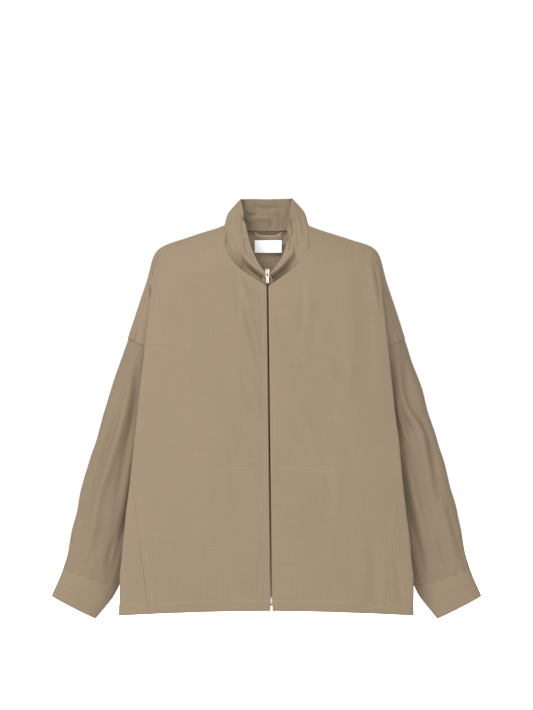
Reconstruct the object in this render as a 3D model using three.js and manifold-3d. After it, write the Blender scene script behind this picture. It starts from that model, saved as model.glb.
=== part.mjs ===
// Zip-front jacket with a stand collar, dropped shoulders and buttoned cuffs, hanging upright.
// Millimetres. The front faces -Y, +Z points to the collar, and +X is on the right seen from the front.
// The origin is in the middle of the neck, level with the back neck seam.

import * as THREE from "three";
import { mergeVertices } from "three/addons/utils/BufferGeometryUtils.js";
import Module from "manifold-3d";

const wasm = await Module();
wasm.setup();

// Driving dimensions.
const clothWall = 1.6; // wall of the shell panels
const seamGap = 0.5; // space left between two pieces that are sewn together
const bodyLength = 707; // from the back neck seam down to the hem's corners
const hemArch = 10.5; // how much higher the hem is in the middle
const hemHalf = 272; // half width of the body at the hem
const hemFlare = 77; // height above the hem where the body reaches that width
const chestHalf = 212; // half width of the body at the top of its side folds
const chestZ = -90;
const frontDepth = 54.1; // the front stands this far before the origin, and its side folds a little less
const frontEdge = 30;
const backDepth = 48;
const backEdge = 25;
const sideTuck = 45; // how much narrower the back is than the front
const shoulderRound = 90; // height over which the shoulder rounds off
const shoulderSlope = 1 / 3;
const neckHalf = 75.5;
const neckSideZ = 15.7;
const neckDrop = 100; // from the back neck seam down to the front one
const collarHeight = 61.6;
const shoulderX = 91; // where the shoulder line leaves the collar
const shoulderZ = 9;
const forwardSeam = 11; // the shoulder seam lies this far in front of the ridge
const underarmZ = -226;
const yokeY = 16; // depth that divides the front from the back in the dropped shoulder
const yokeZ = -75; // above this height they are divided at the ridge, where the depth is 0
const sideFrontY = -20; // depth of the side panel's hidden front seam
const sideBackY = 22; // depth of its back seam
const sideSeamRise = 245; // from the hem up to where the side panel's front seam comes round the fold
const sideSeamInset = 55; // from that seam to the fold, at the hem
const armTopZ = -46;
const armDrop = 626; // from the top of the arm to the end of the cuff
const collarWall = 1.4;
const liningSpace = 3; // from the outer collar to its lining
const zipLean = 0.01175; // the hanging front pulls the zip off the vertical
const zipTopX = 2;
const zipSlot = 3.6; // between the two front edges
const coilGap = 1.2;
const coilWidth = 2.2;
const coilDepth = 1.6;
const tapeWidth = 13;
const tapeWall = 0.6;
const fit = 0.3; // clearance between small rigid pieces
const sliderLength = 11;
const sliderWidth = 7.6;
const sliderPlate = 1;
const clothClearance = 0.5; // between the cloth and what slides on it
const sliderZ = 25.5; // middle of the slider above the front neck seam
const chainRise = 22.5; // from the hem up to the lower end of the coils
const boxHeight = 11;
const pullLength = 20;
const pullWidth = 6.4;
const pullWall = 1.3;
const labelSize = [52, 24];
const labelTop = -15;
const labelWall = 0.5;
const labelGap = 1.2; // the label hangs this far off the inside of the back
const loopSpan = 55;
const loopDrop = 10.5;
const loopBand = 5.3;
const pocketWidth = 117;
const pocketHeight = 190;
const pocketRise = 240; // from the lower end of the coils up to the pocket's mouth
const pocketDepth = 8.6;
const pocketNear = 15; // from the zip to the pocket
const pocketWall = 1.2;
const trimGap = 0.8; // between the inside of the shell and what is sewn to it
const facingNear = 6; // from the zip to the edge of the facing
const facingWidth = 28;
const facingWall = 1;
const buttonRadius = 5.6;
const buttonWall = 2.2;
const buttonHole = 0.8;
const cuffSwell = 1; // the cuff stands this much outside the sleeve

const vector = (x, y, z) => new THREE.Vector3(x, y, z);
const { clamp, lerp, smoothstep } = THREE.MathUtils;
const hemCornerZ = -bodyLength;
const beyond = 3000; // reaches past the whole jacket, for what cuts it
const zipY = -frontDepth + clothWall + clothClearance + sliderPlate + fit + coilDepth / 2;
const chainBottom = hemCornerZ + hemArch + chainRise + neckDrop; // below the front neck seam
const pocketTop = chainBottom + pocketRise;

const steps = (count, from = 0, to = 1) =>
  Array.from({ length: count + 1 }, (_, k) => lerp(from, to, k / count));

// ---------------------------------------------------------------- closed geometry

function closedGeometry(points, index) {
  const geometry = new THREE.BufferGeometry().setFromPoints(points);
  geometry.setIndex(index);
  const merged = mergeVertices(geometry, 1e-4);
  const corners = merged.index.array;
  const place = (k) => new THREE.Vector3().fromBufferAttribute(merged.attributes.position, k);
  const kept = [];
  let volume = 0;
  for (let k = 0; k < corners.length; k += 3) {
    const [a, b, c] = corners.slice(k, k + 3);
    if (a !== b && b !== c && c !== a) {
      kept.push([a, b, c]);
      volume += place(a).dot(place(b).cross(place(c)));
    }
  }
  merged.setIndex(kept.map((face) => (volume > 0 ? face : face.toReversed())).flat());
  return merged;
}

// A solid through a row of closed loops with the same number of points, capped at both ends.
function loft(loops) {
  const count = loops[0].length;
  const points = loops.flat();
  const index = [];
  for (let row = 0; row + 1 < loops.length; row += 1) {
    for (let k = 0; k < count; k += 1) {
      const a = row * count + k;
      const b = row * count + ((k + 1) % count);
      index.push(a, b, b + count, a, b + count, a + count);
    }
  }
  for (const row of [0, loops.length - 1]) {
    const centre = points.length;
    points.push(loops[row].reduce((sum, p) => sum.add(p), vector(0, 0, 0)).divideScalar(count));
    for (let k = 0; k < count; k += 1) {
      const a = row * count + k;
      const b = row * count + ((k + 1) % count);
      index.push(...(row === 0 ? [centre, b, a] : [centre, a, b]));
    }
  }
  return closedGeometry(points, index);
}

// A sheet of one thickness over a grid of points, moved off that grid along its normal by offset.
function sheet(grid, wall, offset = 0) {
  const last = grid.length - 1;
  const count = grid[0].length;
  const along = (i, k) => grid[Math.min(i + 1, last)][k].clone().sub(grid[Math.max(i - 1, 0)][k]);
  const across = (i, k) =>
    grid[i][Math.min(k + 1, count - 1)].clone().sub(grid[i][Math.max(k - 1, 0)]);
  const moved = (distance) =>
    grid.flatMap((row, i) =>
      row.map((p, k) => {
        const normal = along(i, k).cross(across(i, k)).normalize();
        return p.clone().addScaledVector(normal, distance);
      }),
    );
  const points = [...moved(offset + wall / 2), ...moved(offset - wall / 2)];
  const under = (last + 1) * count;
  const index = [];
  const quad = (a, b, c, d) => index.push(a, b, c, a, c, d);
  for (let i = 0; i < last; i += 1) {
    for (let k = 0; k + 1 < count; k += 1) {
      const a = i * count + k;
      quad(a, a + count, a + count + 1, a + 1);
      quad(under + a, under + a + 1, under + a + count + 1, under + a + count);
    }
    const left = i * count;
    const right = left + count - 1;
    quad(left, under + left, under + left + count, left + count);
    quad(right, right + count, under + right + count, under + right);
  }
  for (let k = 0; k + 1 < count; k += 1) {
    const end = last * count + k;
    quad(k, k + 1, under + k + 1, under + k);
    quad(end, under + end, under + end + 1, end + 1);
  }
  return closedGeometry(points, index);
}

// A prism whose outline is given as [x, z] pairs and which runs from lowY to highY.
function prism(outline, lowY, highY) {
  const shape = new THREE.Shape(outline.map(([x, z]) => new THREE.Vector2(x, z)));
  const geometry = new THREE.ExtrudeGeometry(shape, { depth: highY - lowY, bevelEnabled: false });
  return geometry.rotateX(Math.PI / 2).translate(0, highY, 0);
}

function block(low, high) {
  const size = high.map((value, k) => value - low[k]);
  const centre = high.map((value, k) => (value + low[k]) / 2);
  return new THREE.BoxGeometry(...size).translate(...centre);
}

function solid(geometry) {
  const plain = geometry.clone();
  plain.deleteAttribute("normal");
  plain.deleteAttribute("uv");
  const merged = mergeVertices(plain, 1e-4);
  const mesh = new wasm.Mesh({
    numProp: 3,
    vertProperties: new Float32Array(merged.attributes.position.array),
    triVerts: new Uint32Array(merged.index.array),
  });
  return new wasm.Manifold(mesh);
}

function geometryOf(manifold) {
  const mesh = manifold.getMesh();
  const geometry = new THREE.BufferGeometry();
  geometry.setAttribute("position", new THREE.BufferAttribute(mesh.vertProperties, 3));
  geometry.setIndex(new THREE.BufferAttribute(mesh.triVerts, 1));
  return geometry;
}

const join = (first, ...others) => others.reduce((whole, next) => whole.add(next), first);

// ---------------------------------------------------------------- shape of the body

const hemWideZ = hemCornerZ + hemFlare;
const bodyHalf = (z) => lerp(chestHalf, hemHalf, clamp((chestZ - z) / (chestZ - hemWideZ), 0, 1));
const backHalf = (z) => bodyHalf(z) - sideTuck * smoothstep(-z, 60, -underarmZ);

// Height of the shoulder ridge. It runs on upwards inside the neck, where the body is cut away.
function ridge(x) {
  const reach = Math.abs(x);
  const inside = Math.max(0, neckHalf - reach);
  const rise = (shoulderX - reach) * (reach < shoulderX ? 0.43 : shoulderSlope);
  const tip = Math.max(0, reach - chestHalf + 22) ** 2 * 0.03;
  return shoulderZ + rise + inside ** 2 * 0.012 - tip;
}

function bodyDepth(s, drop, back, inset) {
  const away = 1 - Math.min(Math.max(drop, 0) / shoulderRound, 1);
  const round = Math.sqrt(1 - away ** 2);
  const [edge, depth] = back ? [backEdge, backDepth] : [frontEdge, frontDepth];
  const flat = edge + (depth - edge) * (1 - Math.abs(s) ** 3) - inset;
  return round * flat * (back ? 1 : -1);
}

// Depth of the body's outside at a place seen from the front.
const surfaceY = (x, z, back = false) => bodyDepth(x / bodyHalf(z), ridge(x) - z, back, 0);

function bodyLoop(t, inset) {
  const columns = steps(18, -1, 1).map((k) => Math.sin((k * Math.PI) / 2));
  const place = (s, back) => {
    const top = ridge(s * chestHalf) - inset;
    const hem = hemCornerZ + hemArch * (1 - s * s) - inset * 10;
    const z = lerp(top, hem, t * t);
    const half = (back ? backHalf(z) : bodyHalf(z)) - inset * 1.4;
    return vector(s * half, bodyDepth(s, top - z, back, inset), z);
  };
  return [...columns.map((s) => place(s, false)), ...columns.toReversed().map((s) => place(s, true))];
}

const bodySolid = (inset) => solid(loft(steps(15).map((t) => bodyLoop(t, inset))));

// ---------------------------------------------------------------- shape of the arm

// Stations down the arm: share of the drop, how far the outer edge lies outside the front's side fold,
// how much lower the inner edge is and how far outside the back's edge, middle depth and half depth.
const armStations = [
  { share: 0, reach: -9, dip: 34, clear: -60, y: 4, half: 26 },
  { share: 0.061, reach: 10, dip: 38, clear: -41, y: 12, half: 34 },
  { share: 0.16, reach: 25, dip: 30, clear: -10, y: 22, half: 37 },
  { share: 0.246, reach: 36, dip: 26, clear: 10, y: 28, half: 36 },
  { share: 0.391, reach: 55, dip: 28, clear: 21, y: 27, half: 32 },
  { share: 0.698, reach: 89, dip: 34, clear: 33, y: 22, half: 26 },
  { share: 0.917, reach: 105, dip: 36, clear: 46, y: 20, half: 20 },
  { share: 1, reach: 125, dip: 43, clear: 87, y: 18, half: 17 },
];
const sleeveSeam = 3;
const cuffSeam = 6;
const armEnd = 7;
const armCurve = (place) =>
  new THREE.CatmullRomCurve3(armStations.map((station) => place(station, armTopZ - station.share * armDrop)));
const outerEdge = armCurve(({ reach }, z) => vector(bodyHalf(z) + reach, 0, z));
const innerEdge = armCurve(({ dip, clear }, z) => vector(backHalf(z - dip) + clear, 0, z - dip));
const armDepth = armCurve(({ y, half }) => vector(y, half, 0));

// A place on the arm: station, angle round it from the outer edge by the back, and distance inside.
function armPoint(side, station, angle, inset) {
  const share = station / armEnd;
  const past = Math.max(0, share - 1) * armEnd;
  const outer = outerEdge.getPoint(Math.min(share, 1));
  const inner = innerEdge.getPoint(Math.min(share, 1));
  const depth = armDepth.getPoint(Math.min(share, 1));
  const middle = outer.clone().add(inner).divideScalar(2);
  const reach = outer.clone().sub(middle);
  const wide = Math.cos(angle) * (1 - inset / reach.length());
  const point = middle.addScaledVector(reach, wide);
  point.y = depth.x + Math.sin(angle) * (depth.y - inset);
  point.add(vector(reach.z, 0, -reach.x).setLength(past * 60));
  return vector(point.x * side, point.y, point.z);
}

function armTube(side, from, to, inset) {
  const angles = steps(18, 0, 2 * Math.PI).slice(0, -1);
  const rows = Math.ceil((to - from) * 2.2);
  return loft(steps(rows, from, to).map((p) => angles.map((a) => armPoint(side, p, a, inset))));
}

function armSleeve(side, from, to, outside, inside) {
  const hollow = solid(armTube(side, from - 0.1, to + 0.1, inside));
  return geometryOf(solid(armTube(side, from, to, outside)).subtract(hollow));
}

// ---------------------------------------------------------------- collar

// The neck seam, from the back middle round to the zip. Places are shares of the neck's half width and drop.
const neckPlace = (across, z, back) => vector(across * neckHalf, surfaceY(across * neckHalf, z, back), z);
const neckPoints = [
  vector(0, backDepth, 0),
  neckPlace(0.424, 0.03 * neckSideZ, true),
  neckPlace(0.768, 0.38 * neckSideZ, true),
  vector(neckHalf, -2, neckSideZ),
  neckPlace(1.007, -0.08 * neckDrop),
  neckPlace(0.974, -0.32 * neckDrop),
  neckPlace(0.728, -0.62 * neckDrop),
  neckPlace(0.358, -0.83 * neckDrop),
  vector(zipSlot / 2, -frontDepth, -neckDrop),
];
const neckSeam = new THREE.CatmullRomCurve3(neckPoints);

// The middle of the stand and its top edge, given off the neck seam in shares of the collar's height.
const offSeam = (offsets) =>
  new THREE.CatmullRomCurve3(
    offsets.map((offset, k) => vector(...offset).multiplyScalar(collarHeight).add(neckPoints[k])),
  );
const collarMiddle = offSeam([
  [0, 0.05, 0.5],
  [-0.03, 0.09, 0.5],
  [-0.065, 0.19, 0.42],
  [-0.105, 0.23, 0.36],
  [-0.08, 0.45, 0.57],
  [-0.14, 0.31, 0.62],
  [-0.1, 0.16, 0.62],
  [0, 0.057, 0.44],
  [0, 0.011, (sliderZ + sliderLength * 0.3) / collarHeight],
]);
const collarTop = offSeam([
  [0, 0.03, 1],
  [-0.13, 0.07, 1],
  [-0.24, 0.2, 0.9],
  [-0.45, 0.42, 0.74],
  [-0.47, 0.71, 1.04],
  [-0.46, 0.67, 1.25],
  [-0.19, 0.51, 1.46],
  [0.21, 0.29, 1.49],
  [0.555, 0.1, 1.45],
]);

// A place on the collar: u runs from -1 at the left front edge to 1 at the right, v from seam to top.
function collarPoint(u, v) {
  const share = Math.abs(u);
  const [from, to] = v < 0.5 ? [neckSeam, collarMiddle] : [collarMiddle, collarTop];
  const point = from.getPoint(share).lerp(to.getPoint(share), v < 0.5 ? v * 2 : v * 2 - 1);
  return vector(point.x * Math.sign(u) + zipTopX * share ** 4, point.y, point.z);
}

function collarSheet(edge, columns, bottom, top, wall, offset) {
  const across = steps(columns, -edge, edge);
  const up = [bottom, 0.25, 0.5, 0.75, top];
  return sheet(across.map((u) => up.map((v) => collarPoint(u, v))), wall, offset);
}

const collarOuter = () => collarSheet(1, 32, 0.02, 1, collarWall, 0);
const collarLining = () => collarSheet(0.84, 28, 0.05, 0.97, 1, liningSpace);

// ---------------------------------------------------------------- zip frame

// Everything on the zip is drawn in this leaning frame, with its origin at the front neck seam.
const zipFrame = new THREE.Group();
zipFrame.position.set(zipTopX, 0, -neckDrop);
zipFrame.rotation.y = -zipLean;
zipFrame.updateMatrix();
const leaning = (geometry) => geometry.applyMatrix4(zipFrame.matrix);

// ---------------------------------------------------------------- body panels

function neckHole() {
  const outline = (from, to) => steps(12, from, to).map((share) => {
    const point = neckSeam.getPoint(share);
    return [point.x * (1 + 1.6 / neckHalf), point.z - 1];
  });
  const cutter = (edge, lowY, highY) => {
    const left = edge.toReversed().map(([x, z]) => [-x, z]);
    return solid(prism([...left, ...edge, [neckHalf, beyond], [-neckHalf, beyond]], lowY, highY));
  };
  const back = outline(0.004, 3 / 8);
  const front = outline(3 / 8, 1).toReversed();
  return join(cutter(front, -beyond, 0), cutter(back, -1, beyond));
}

function bodyShell() {
  const arms = (to, inset) => [-1, 1].map((side) => solid(armTube(side, 0, to, inset)));
  const outside = join(bodySolid(0), ...arms(sleeveSeam, 0));
  const inside = join(bodySolid(clothWall), ...arms(sleeveSeam + 0.1, clothWall));
  const slot = block([-zipSlot / 2, -beyond, -beyond], [zipSlot / 2, 0, beyond]);
  return outside.subtract(inside).subtract(neckHole()).subtract(solid(leaning(slot)));
}

const sideTopZ = hemCornerZ + sideSeamRise;
const sideSeamTop = [bodyHalf(sideTopZ) - 5, sideTopZ];
const sideSeamHem = [hemHalf - sideSeamInset, hemCornerZ + 7];
const sideSeamFoot = [sideSeamHem[0] - 4, hemCornerZ - 40];

// Outline of the forward shoulder seam, from the neck along the shoulder and down the dropped shoulder.
const seamDrop = (x) => shoulderZ - forwardSeam - (x - shoulderX) * shoulderSlope;
const shoulderSeam = [
  [shoulderX - 31, shoulderZ + 16],
  [shoulderX, seamDrop(shoulderX)],
  [chestHalf - 19, seamDrop(chestHalf - 19)],
  [chestHalf - 4, -62],
  [bodyHalf(-146) + 13, -146],
  [bodyHalf(underarmZ) + 26, underarmZ],
];

function frontRegion(side) {
  const mirror = (outline) => outline.map(([x, z]) => [x * side, z]);
  const upper = [[-20, underarmZ], [-20, 40], [shoulderX - 31, 40], ...shoulderSeam];
  const dropped = [[-20, underarmZ], [-20, yokeZ], [chestHalf, yokeZ], ...shoulderSeam.slice(-2)];
  const lower = [
    [-20, underarmZ + 1],
    [beyond, underarmZ + 1],
    [beyond, sideSeamTop[1]],
    sideSeamTop,
    sideSeamHem,
    sideSeamFoot,
    [-20, sideSeamFoot[1]],
  ];
  const half = block([side > 0 ? 0 : -beyond, -beyond, -beyond], [side > 0 ? beyond : 0, beyond, beyond]);
  const whole = join(
    solid(prism(mirror(upper), -beyond, 0)),
    solid(prism(mirror(dropped), -beyond, yokeY)),
    solid(prism(mirror(lower), -beyond, sideFrontY)),
  );
  return whole.intersect(solid(leaning(half)));
}

function sideRegion(side) {
  const outline = [
    [beyond, sideSeamTop[1] - seamGap],
    [sideSeamTop[0] + seamGap, sideSeamTop[1] - seamGap],
    [sideSeamHem[0] + seamGap, sideSeamHem[1]],
    [sideSeamFoot[0] + seamGap, sideSeamFoot[1]],
    [beyond, sideSeamFoot[1]],
  ].map(([x, z]) => [x * side, z]);
  const inner = side * 100;
  const low = [Math.min(inner, side * beyond), sideFrontY + seamGap, -beyond];
  const high = [Math.max(inner, side * beyond), sideBackY, underarmZ - seamGap];
  return join(solid(prism(outline, -beyond, 0)), solid(block(low, high)));
}

function backRegion() {
  const ridgeStrip = (side) => {
    const seam = shoulderSeam.map(([x, z]) => [x + seamGap, z + seamGap]);
    const outline = [...seam, [beyond, underarmZ], [beyond, 60], [shoulderX - 31, 60]];
    return solid(prism(outline.map(([x, z]) => [x * side, z]), -beyond, yokeY + 1));
  };
  const upper = block([-beyond, yokeY + seamGap, underarmZ - seamGap], [beyond, beyond, beyond]);
  const lower = block([-beyond, sideBackY + seamGap, -beyond], [beyond, beyond, underarmZ]);
  const shoulders = block([-beyond, seamGap, yokeZ + seamGap], [beyond, beyond, beyond]);
  return join(solid(upper), solid(lower), solid(shoulders), ridgeStrip(1), ridgeStrip(-1));
}

// ---------------------------------------------------------------- zip pieces, in the zip frame

// The coil and tape run straight up to the slider, then out along the collar's front edge.
function zipEdge(side, station) {
  const straight = sliderZ + sliderLength / 2 + fit;
  if (station <= 1) {
    const z = lerp(chainBottom, straight, station);
    return { point: vector(0, zipY, z), across: vector(side, 0, 0) };
  }
  const v = lerp(0.5, 0.93, station - 1);
  const edge = collarPoint(side, v);
  const up = collarPoint(side, v + 0.02).sub(edge).normalize();
  const across = collarPoint(side * 0.94, v).sub(edge);
  across.addScaledVector(up, -across.dot(up)).normalize();
  const inward = across.clone().cross(up).multiplyScalar(-side);
  const point = edge.sub(vector(zipTopX, 0, -neckDrop));
  point.addScaledVector(inward, frontDepth + zipY - collarWall / 2);
  point.addScaledVector(across, -zipSlot / 2);
  return { point, across };
}

function zipStrip(side, from, to, wall) {
  const stations = [...steps(6), ...steps(7, 1.1, 2)];
  const grid = stations.map((station) => {
    const { point, across } = zipEdge(side, station);
    return steps(1, from, to).map((reach) => point.clone().addScaledVector(across, reach));
  });
  return sheet(grid, wall);
}

const coilFrom = coilGap / 2;
const coilTo = coilFrom + coilWidth;
const tapeFrom = coilTo + fit;
const zipCoil = (side) => zipStrip(side, coilFrom, coilTo, coilDepth);
const zipTape = (side) => zipStrip(side, tapeFrom, tapeFrom + tapeWidth, tapeWall);

function topStop(side) {
  const { point, across } = zipEdge(side, 2);
  const below = zipEdge(side, 1.9).point;
  const up = point.clone().sub(below).normalize();
  const base = point.addScaledVector(up, fit + 1.1).addScaledVector(across, (coilFrom + coilTo) / 2);
  const geometry = new THREE.BoxGeometry(coilWidth + 0.6, 2, 2.2);
  const turn = new THREE.Matrix4().makeBasis(across, up.clone().cross(across), up);
  return geometry.applyMatrix4(turn).translate(base.x, base.y, base.z);
}

const plateY = zipY - coilDepth / 2 - fit - sliderPlate; // front face of the slider's front plate
const archHalf = 5;
const archWall = 1.6;
const pullY = -frontDepth - collarWall / 2 - fit - pullWall / 2; // middle plane of the pull
const pullZ = sliderZ - 1; // height of its top bar, on which it swings
const archHole = 1.7; // half depth of the hole that the pull's top bar hangs in
const archReach = plateY - pullY + archHole + archWall - 0.1; // how far the bridge stands out

function slider() {
  const outline = new THREE.Shape();
  const half = sliderLength / 2;
  outline.moveTo(-sliderWidth * 0.36, -half);
  outline.lineTo(sliderWidth * 0.36, -half);
  outline.lineTo(sliderWidth / 2, half * 0.3);
  outline.quadraticCurveTo(sliderWidth / 2, half, sliderWidth * 0.28, half);
  outline.lineTo(-sliderWidth * 0.28, half);
  outline.quadraticCurveTo(-sliderWidth / 2, half, -sliderWidth / 2, half * 0.3);
  const plate = (y) => {
    const options = { depth: sliderPlate, bevelEnabled: false, curveSegments: 4 };
    const geometry = new THREE.ExtrudeGeometry(outline, options);
    return solid(geometry.rotateX(Math.PI / 2).translate(0, y + sliderPlate, sliderZ));
  };
  const backY = zipY + coilDepth / 2 + fit;
  const wedgeHalf = coilGap / 2 - fit;
  const wedge = block([-wedgeHalf, plateY + 0.2, sliderZ - 1], [wedgeHalf, backY + 0.2, sliderZ + half]);
  const side = new THREE.Shape();
  side.moveTo(-archHalf, 0.2);
  side.lineTo(-archHalf, -archReach * 0.5);
  side.quadraticCurveTo(-archHalf, -archReach, 0, -archReach);
  side.quadraticCurveTo(archHalf, -archReach, archHalf, -archReach * 0.5);
  side.lineTo(archHalf, 0.2);
  const hole = new THREE.Path();
  hole.absellipse(0, pullY + 0.1 - plateY, archHalf - archWall, archHole, 0, 2 * Math.PI);
  side.holes.push(hole);
  const options = { depth: 2.2, bevelEnabled: false, curveSegments: 5 };
  const bridge = new THREE.ExtrudeGeometry(side, options);
  const turn = new THREE.Matrix4().makeBasis(vector(0, 0, 1), vector(0, 1, 0), vector(-1, 0, 0));
  bridge.applyMatrix4(turn).translate(1.1, plateY, sliderZ);
  return geometryOf(join(plate(plateY), plate(backY), solid(wedge), solid(bridge)));
}

function pull() {
  const half = pullWidth / 2;
  const top = pullWall / 2;
  const outline = new THREE.Shape();
  outline.moveTo(-half * 0.5, top);
  outline.lineTo(half * 0.5, top);
  outline.quadraticCurveTo(half, top, half, top - 3);
  outline.lineTo(half, -7);
  outline.lineTo(half * 0.72, -9.2);
  outline.lineTo(half * 0.84, top - pullLength + 2);
  outline.quadraticCurveTo(half * 0.8, top - pullLength, 0, top - pullLength);
  outline.quadraticCurveTo(-half * 0.8, top - pullLength, -half * 0.84, top - pullLength + 2);
  outline.lineTo(-half * 0.72, -9.2);
  outline.lineTo(-half, -7);
  outline.lineTo(-half, top - 3);
  outline.quadraticCurveTo(-half, top, -half * 0.5, top);
  const eye = new THREE.Path();
  eye.moveTo(-1.5, -top);
  eye.lineTo(-1.5, -6.4);
  eye.quadraticCurveTo(0, -8, 1.5, -6.4);
  eye.lineTo(1.5, -top);
  const hole = new THREE.Path();
  hole.absarc(0, top - pullLength + 3.2, 1.1, 0, 2 * Math.PI);
  outline.holes.push(eye, hole);
  const options = { depth: pullWall, bevelEnabled: false, curveSegments: 5 };
  const geometry = new THREE.ExtrudeGeometry(outline, options);
  return geometry.rotateX(Math.PI / 2).translate(0, pullY + pullWall / 2, pullZ);
}

// The retaining box at the foot of the zip, open at its top for the pin of the other side.
const pinHalf = 0.7;
const pinX = coilFrom + coilWidth / 2;

function zipBox() {
  const top = chainBottom - fit;
  const half = coilTo;
  const body = solid(block([-half, zipY - 1.6, top - boxHeight], [half, zipY + 1.6, top]));
  const low = [pinX - pinHalf - fit, zipY - 0.7 - fit, top - boxHeight + 2];
  const high = [pinX + pinHalf + fit, zipY + 0.7 + fit, top + 1];
  return geometryOf(body.subtract(solid(block(low, high))));
}

function zipPin() {
  const top = chainBottom - fit;
  return block([pinX - pinHalf, zipY - 0.7, top - boxHeight + 2 + fit], [pinX + pinHalf, zipY + 0.7, top]);
}

const facingY = zipY + tapeWall / 2 + clothClearance;

function facing(side) {
  const near = side * facingNear;
  const far = near + side * facingWidth;
  const low = [Math.min(near, far), facingY, chainBottom - 10];
  return block(low, [Math.max(near, far), facingY + facingWall, -14]);
}

// An inside pocket: a tray, open at its top, whose rim follows the inside of the front and the facing.
function pocketBag(side) {
  const lean = zipTopX - pocketTop * zipLean;
  const facingBack = facingY + facingWall;
  const columns = 9;
  const rim = steps(columns, pocketNear, pocketNear + pocketWidth).map((x) => {
    const front = surfaceY(lean + side * x, pocketTop - neckDrop) + clothWall;
    const overFacing = x - pocketWidth / columns < facingNear + facingWidth;
    return [x, (overFacing ? Math.max(front, facingBack) : front) + trimGap];
  });
  const back = facingBack + trimGap + pocketDepth;
  const far = pocketNear + pocketWidth;
  const tray = (outline, low, high) => {
    const shape = new THREE.Shape(outline.map(([x, y]) => new THREE.Vector2(side * x, y)));
    const geometry = new THREE.ExtrudeGeometry(shape, { depth: high - low, bevelEnabled: false });
    return solid(geometry.translate(0, 0, low));
  };
  const outer = [...rim, [far, back], [pocketNear, back]];
  const hollow = [pocketNear + pocketWall, far - pocketWall, back - pocketWall];
  const inner = [
    [hollow[0], rim[0][1] - pocketDepth],
    [hollow[1], rim[0][1] - pocketDepth],
    [hollow[1], hollow[2]],
    [hollow[0], hollow[2]],
  ];
  const foot = pocketTop - pocketHeight;
  return geometryOf(tray(outer, foot, pocketTop).subtract(tray(inner, foot + pocketWall, pocketTop + 1)));
}

// ---------------------------------------------------------------- neck trim and cuffs

const loopTop = -0.8;
const loopWall = 1.2;
const loopY = surfaceY(loopSpan / 2, loopTop, true) - clothWall - loopWall;

function hangerLoop() {
  const half = loopSpan / 2;
  const top = loopTop;
  const outline = [
    [-half, top],
    [-half + 7, -loopDrop],
    [half - 7, -loopDrop],
    [half, top],
    [half - 6, top],
    [half - 9.4, -loopDrop + loopBand],
    [-half + 9.4, -loopDrop + loopBand],
    [-half + 6, top],
  ];
  return prism(outline, loopY - loopWall, loopY);
}

function neckLabel() {
  const [width, height] = labelSize;
  const y = surfaceY(width / 2, labelTop, true) - clothWall - labelGap;
  return block([-width / 2, y - labelWall, labelTop - height], [width / 2, y, labelTop]);
}

function placket(side) {
  const angles = steps(3, Math.PI * 0.62, Math.PI * 0.7);
  const grid = steps(4, cuffSeam - 0.9, cuffSeam - 0.06).map((station) =>
    angles.map((angle) => armPoint(side, station, angle, clothWall + 1.5)),
  );
  return sheet(grid, 1);
}

function cuffButton(side) {
  const station = cuffSeam + 0.5;
  const angle = Math.PI * 0.7;
  const place = armPoint(side, station, angle, -cuffSwell);
  const along = armPoint(side, station + 0.1, angle, -cuffSwell).sub(place);
  const round = armPoint(side, station, angle + 0.05, -cuffSwell).sub(place);
  const normal = along.cross(round).normalize();
  normal.multiplyScalar(Math.sign(normal.y));
  const disc = new THREE.Shape();
  disc.absarc(0, 0, buttonRadius, 0, 2 * Math.PI);
  for (const quarter of steps(3, Math.PI / 4, Math.PI * 1.75)) {
    const hole = new THREE.Path();
    const reach = buttonHole * 2.1;
    hole.absarc(Math.cos(quarter) * reach, Math.sin(quarter) * reach, buttonHole, 0, 2 * Math.PI);
    disc.holes.push(hole);
  }
  const geometry = new THREE.ExtrudeGeometry(disc, { depth: buttonWall, bevelEnabled: false, curveSegments: 5 });
  const turn = new THREE.Quaternion().setFromUnitVectors(vector(0, 0, 1), normal);
  place.addScaledVector(normal, 0.9);
  return geometry.applyQuaternion(turn).translate(place.x, place.y, place.z);
}

// ---------------------------------------------------------------- assembly

const cloth = (color) => new THREE.MeshStandardMaterial({ color, roughness: 0.85, metalness: 0 });
const metal = (color) => new THREE.MeshStandardMaterial({ color, roughness: 0.3, metalness: 1 });
const jacket = new THREE.Group();

function piece(name, geometry, material, parent = jacket) {
  const mesh = new THREE.Mesh(geometry, material);
  mesh.name = name;
  parent.add(mesh);
}

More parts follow.
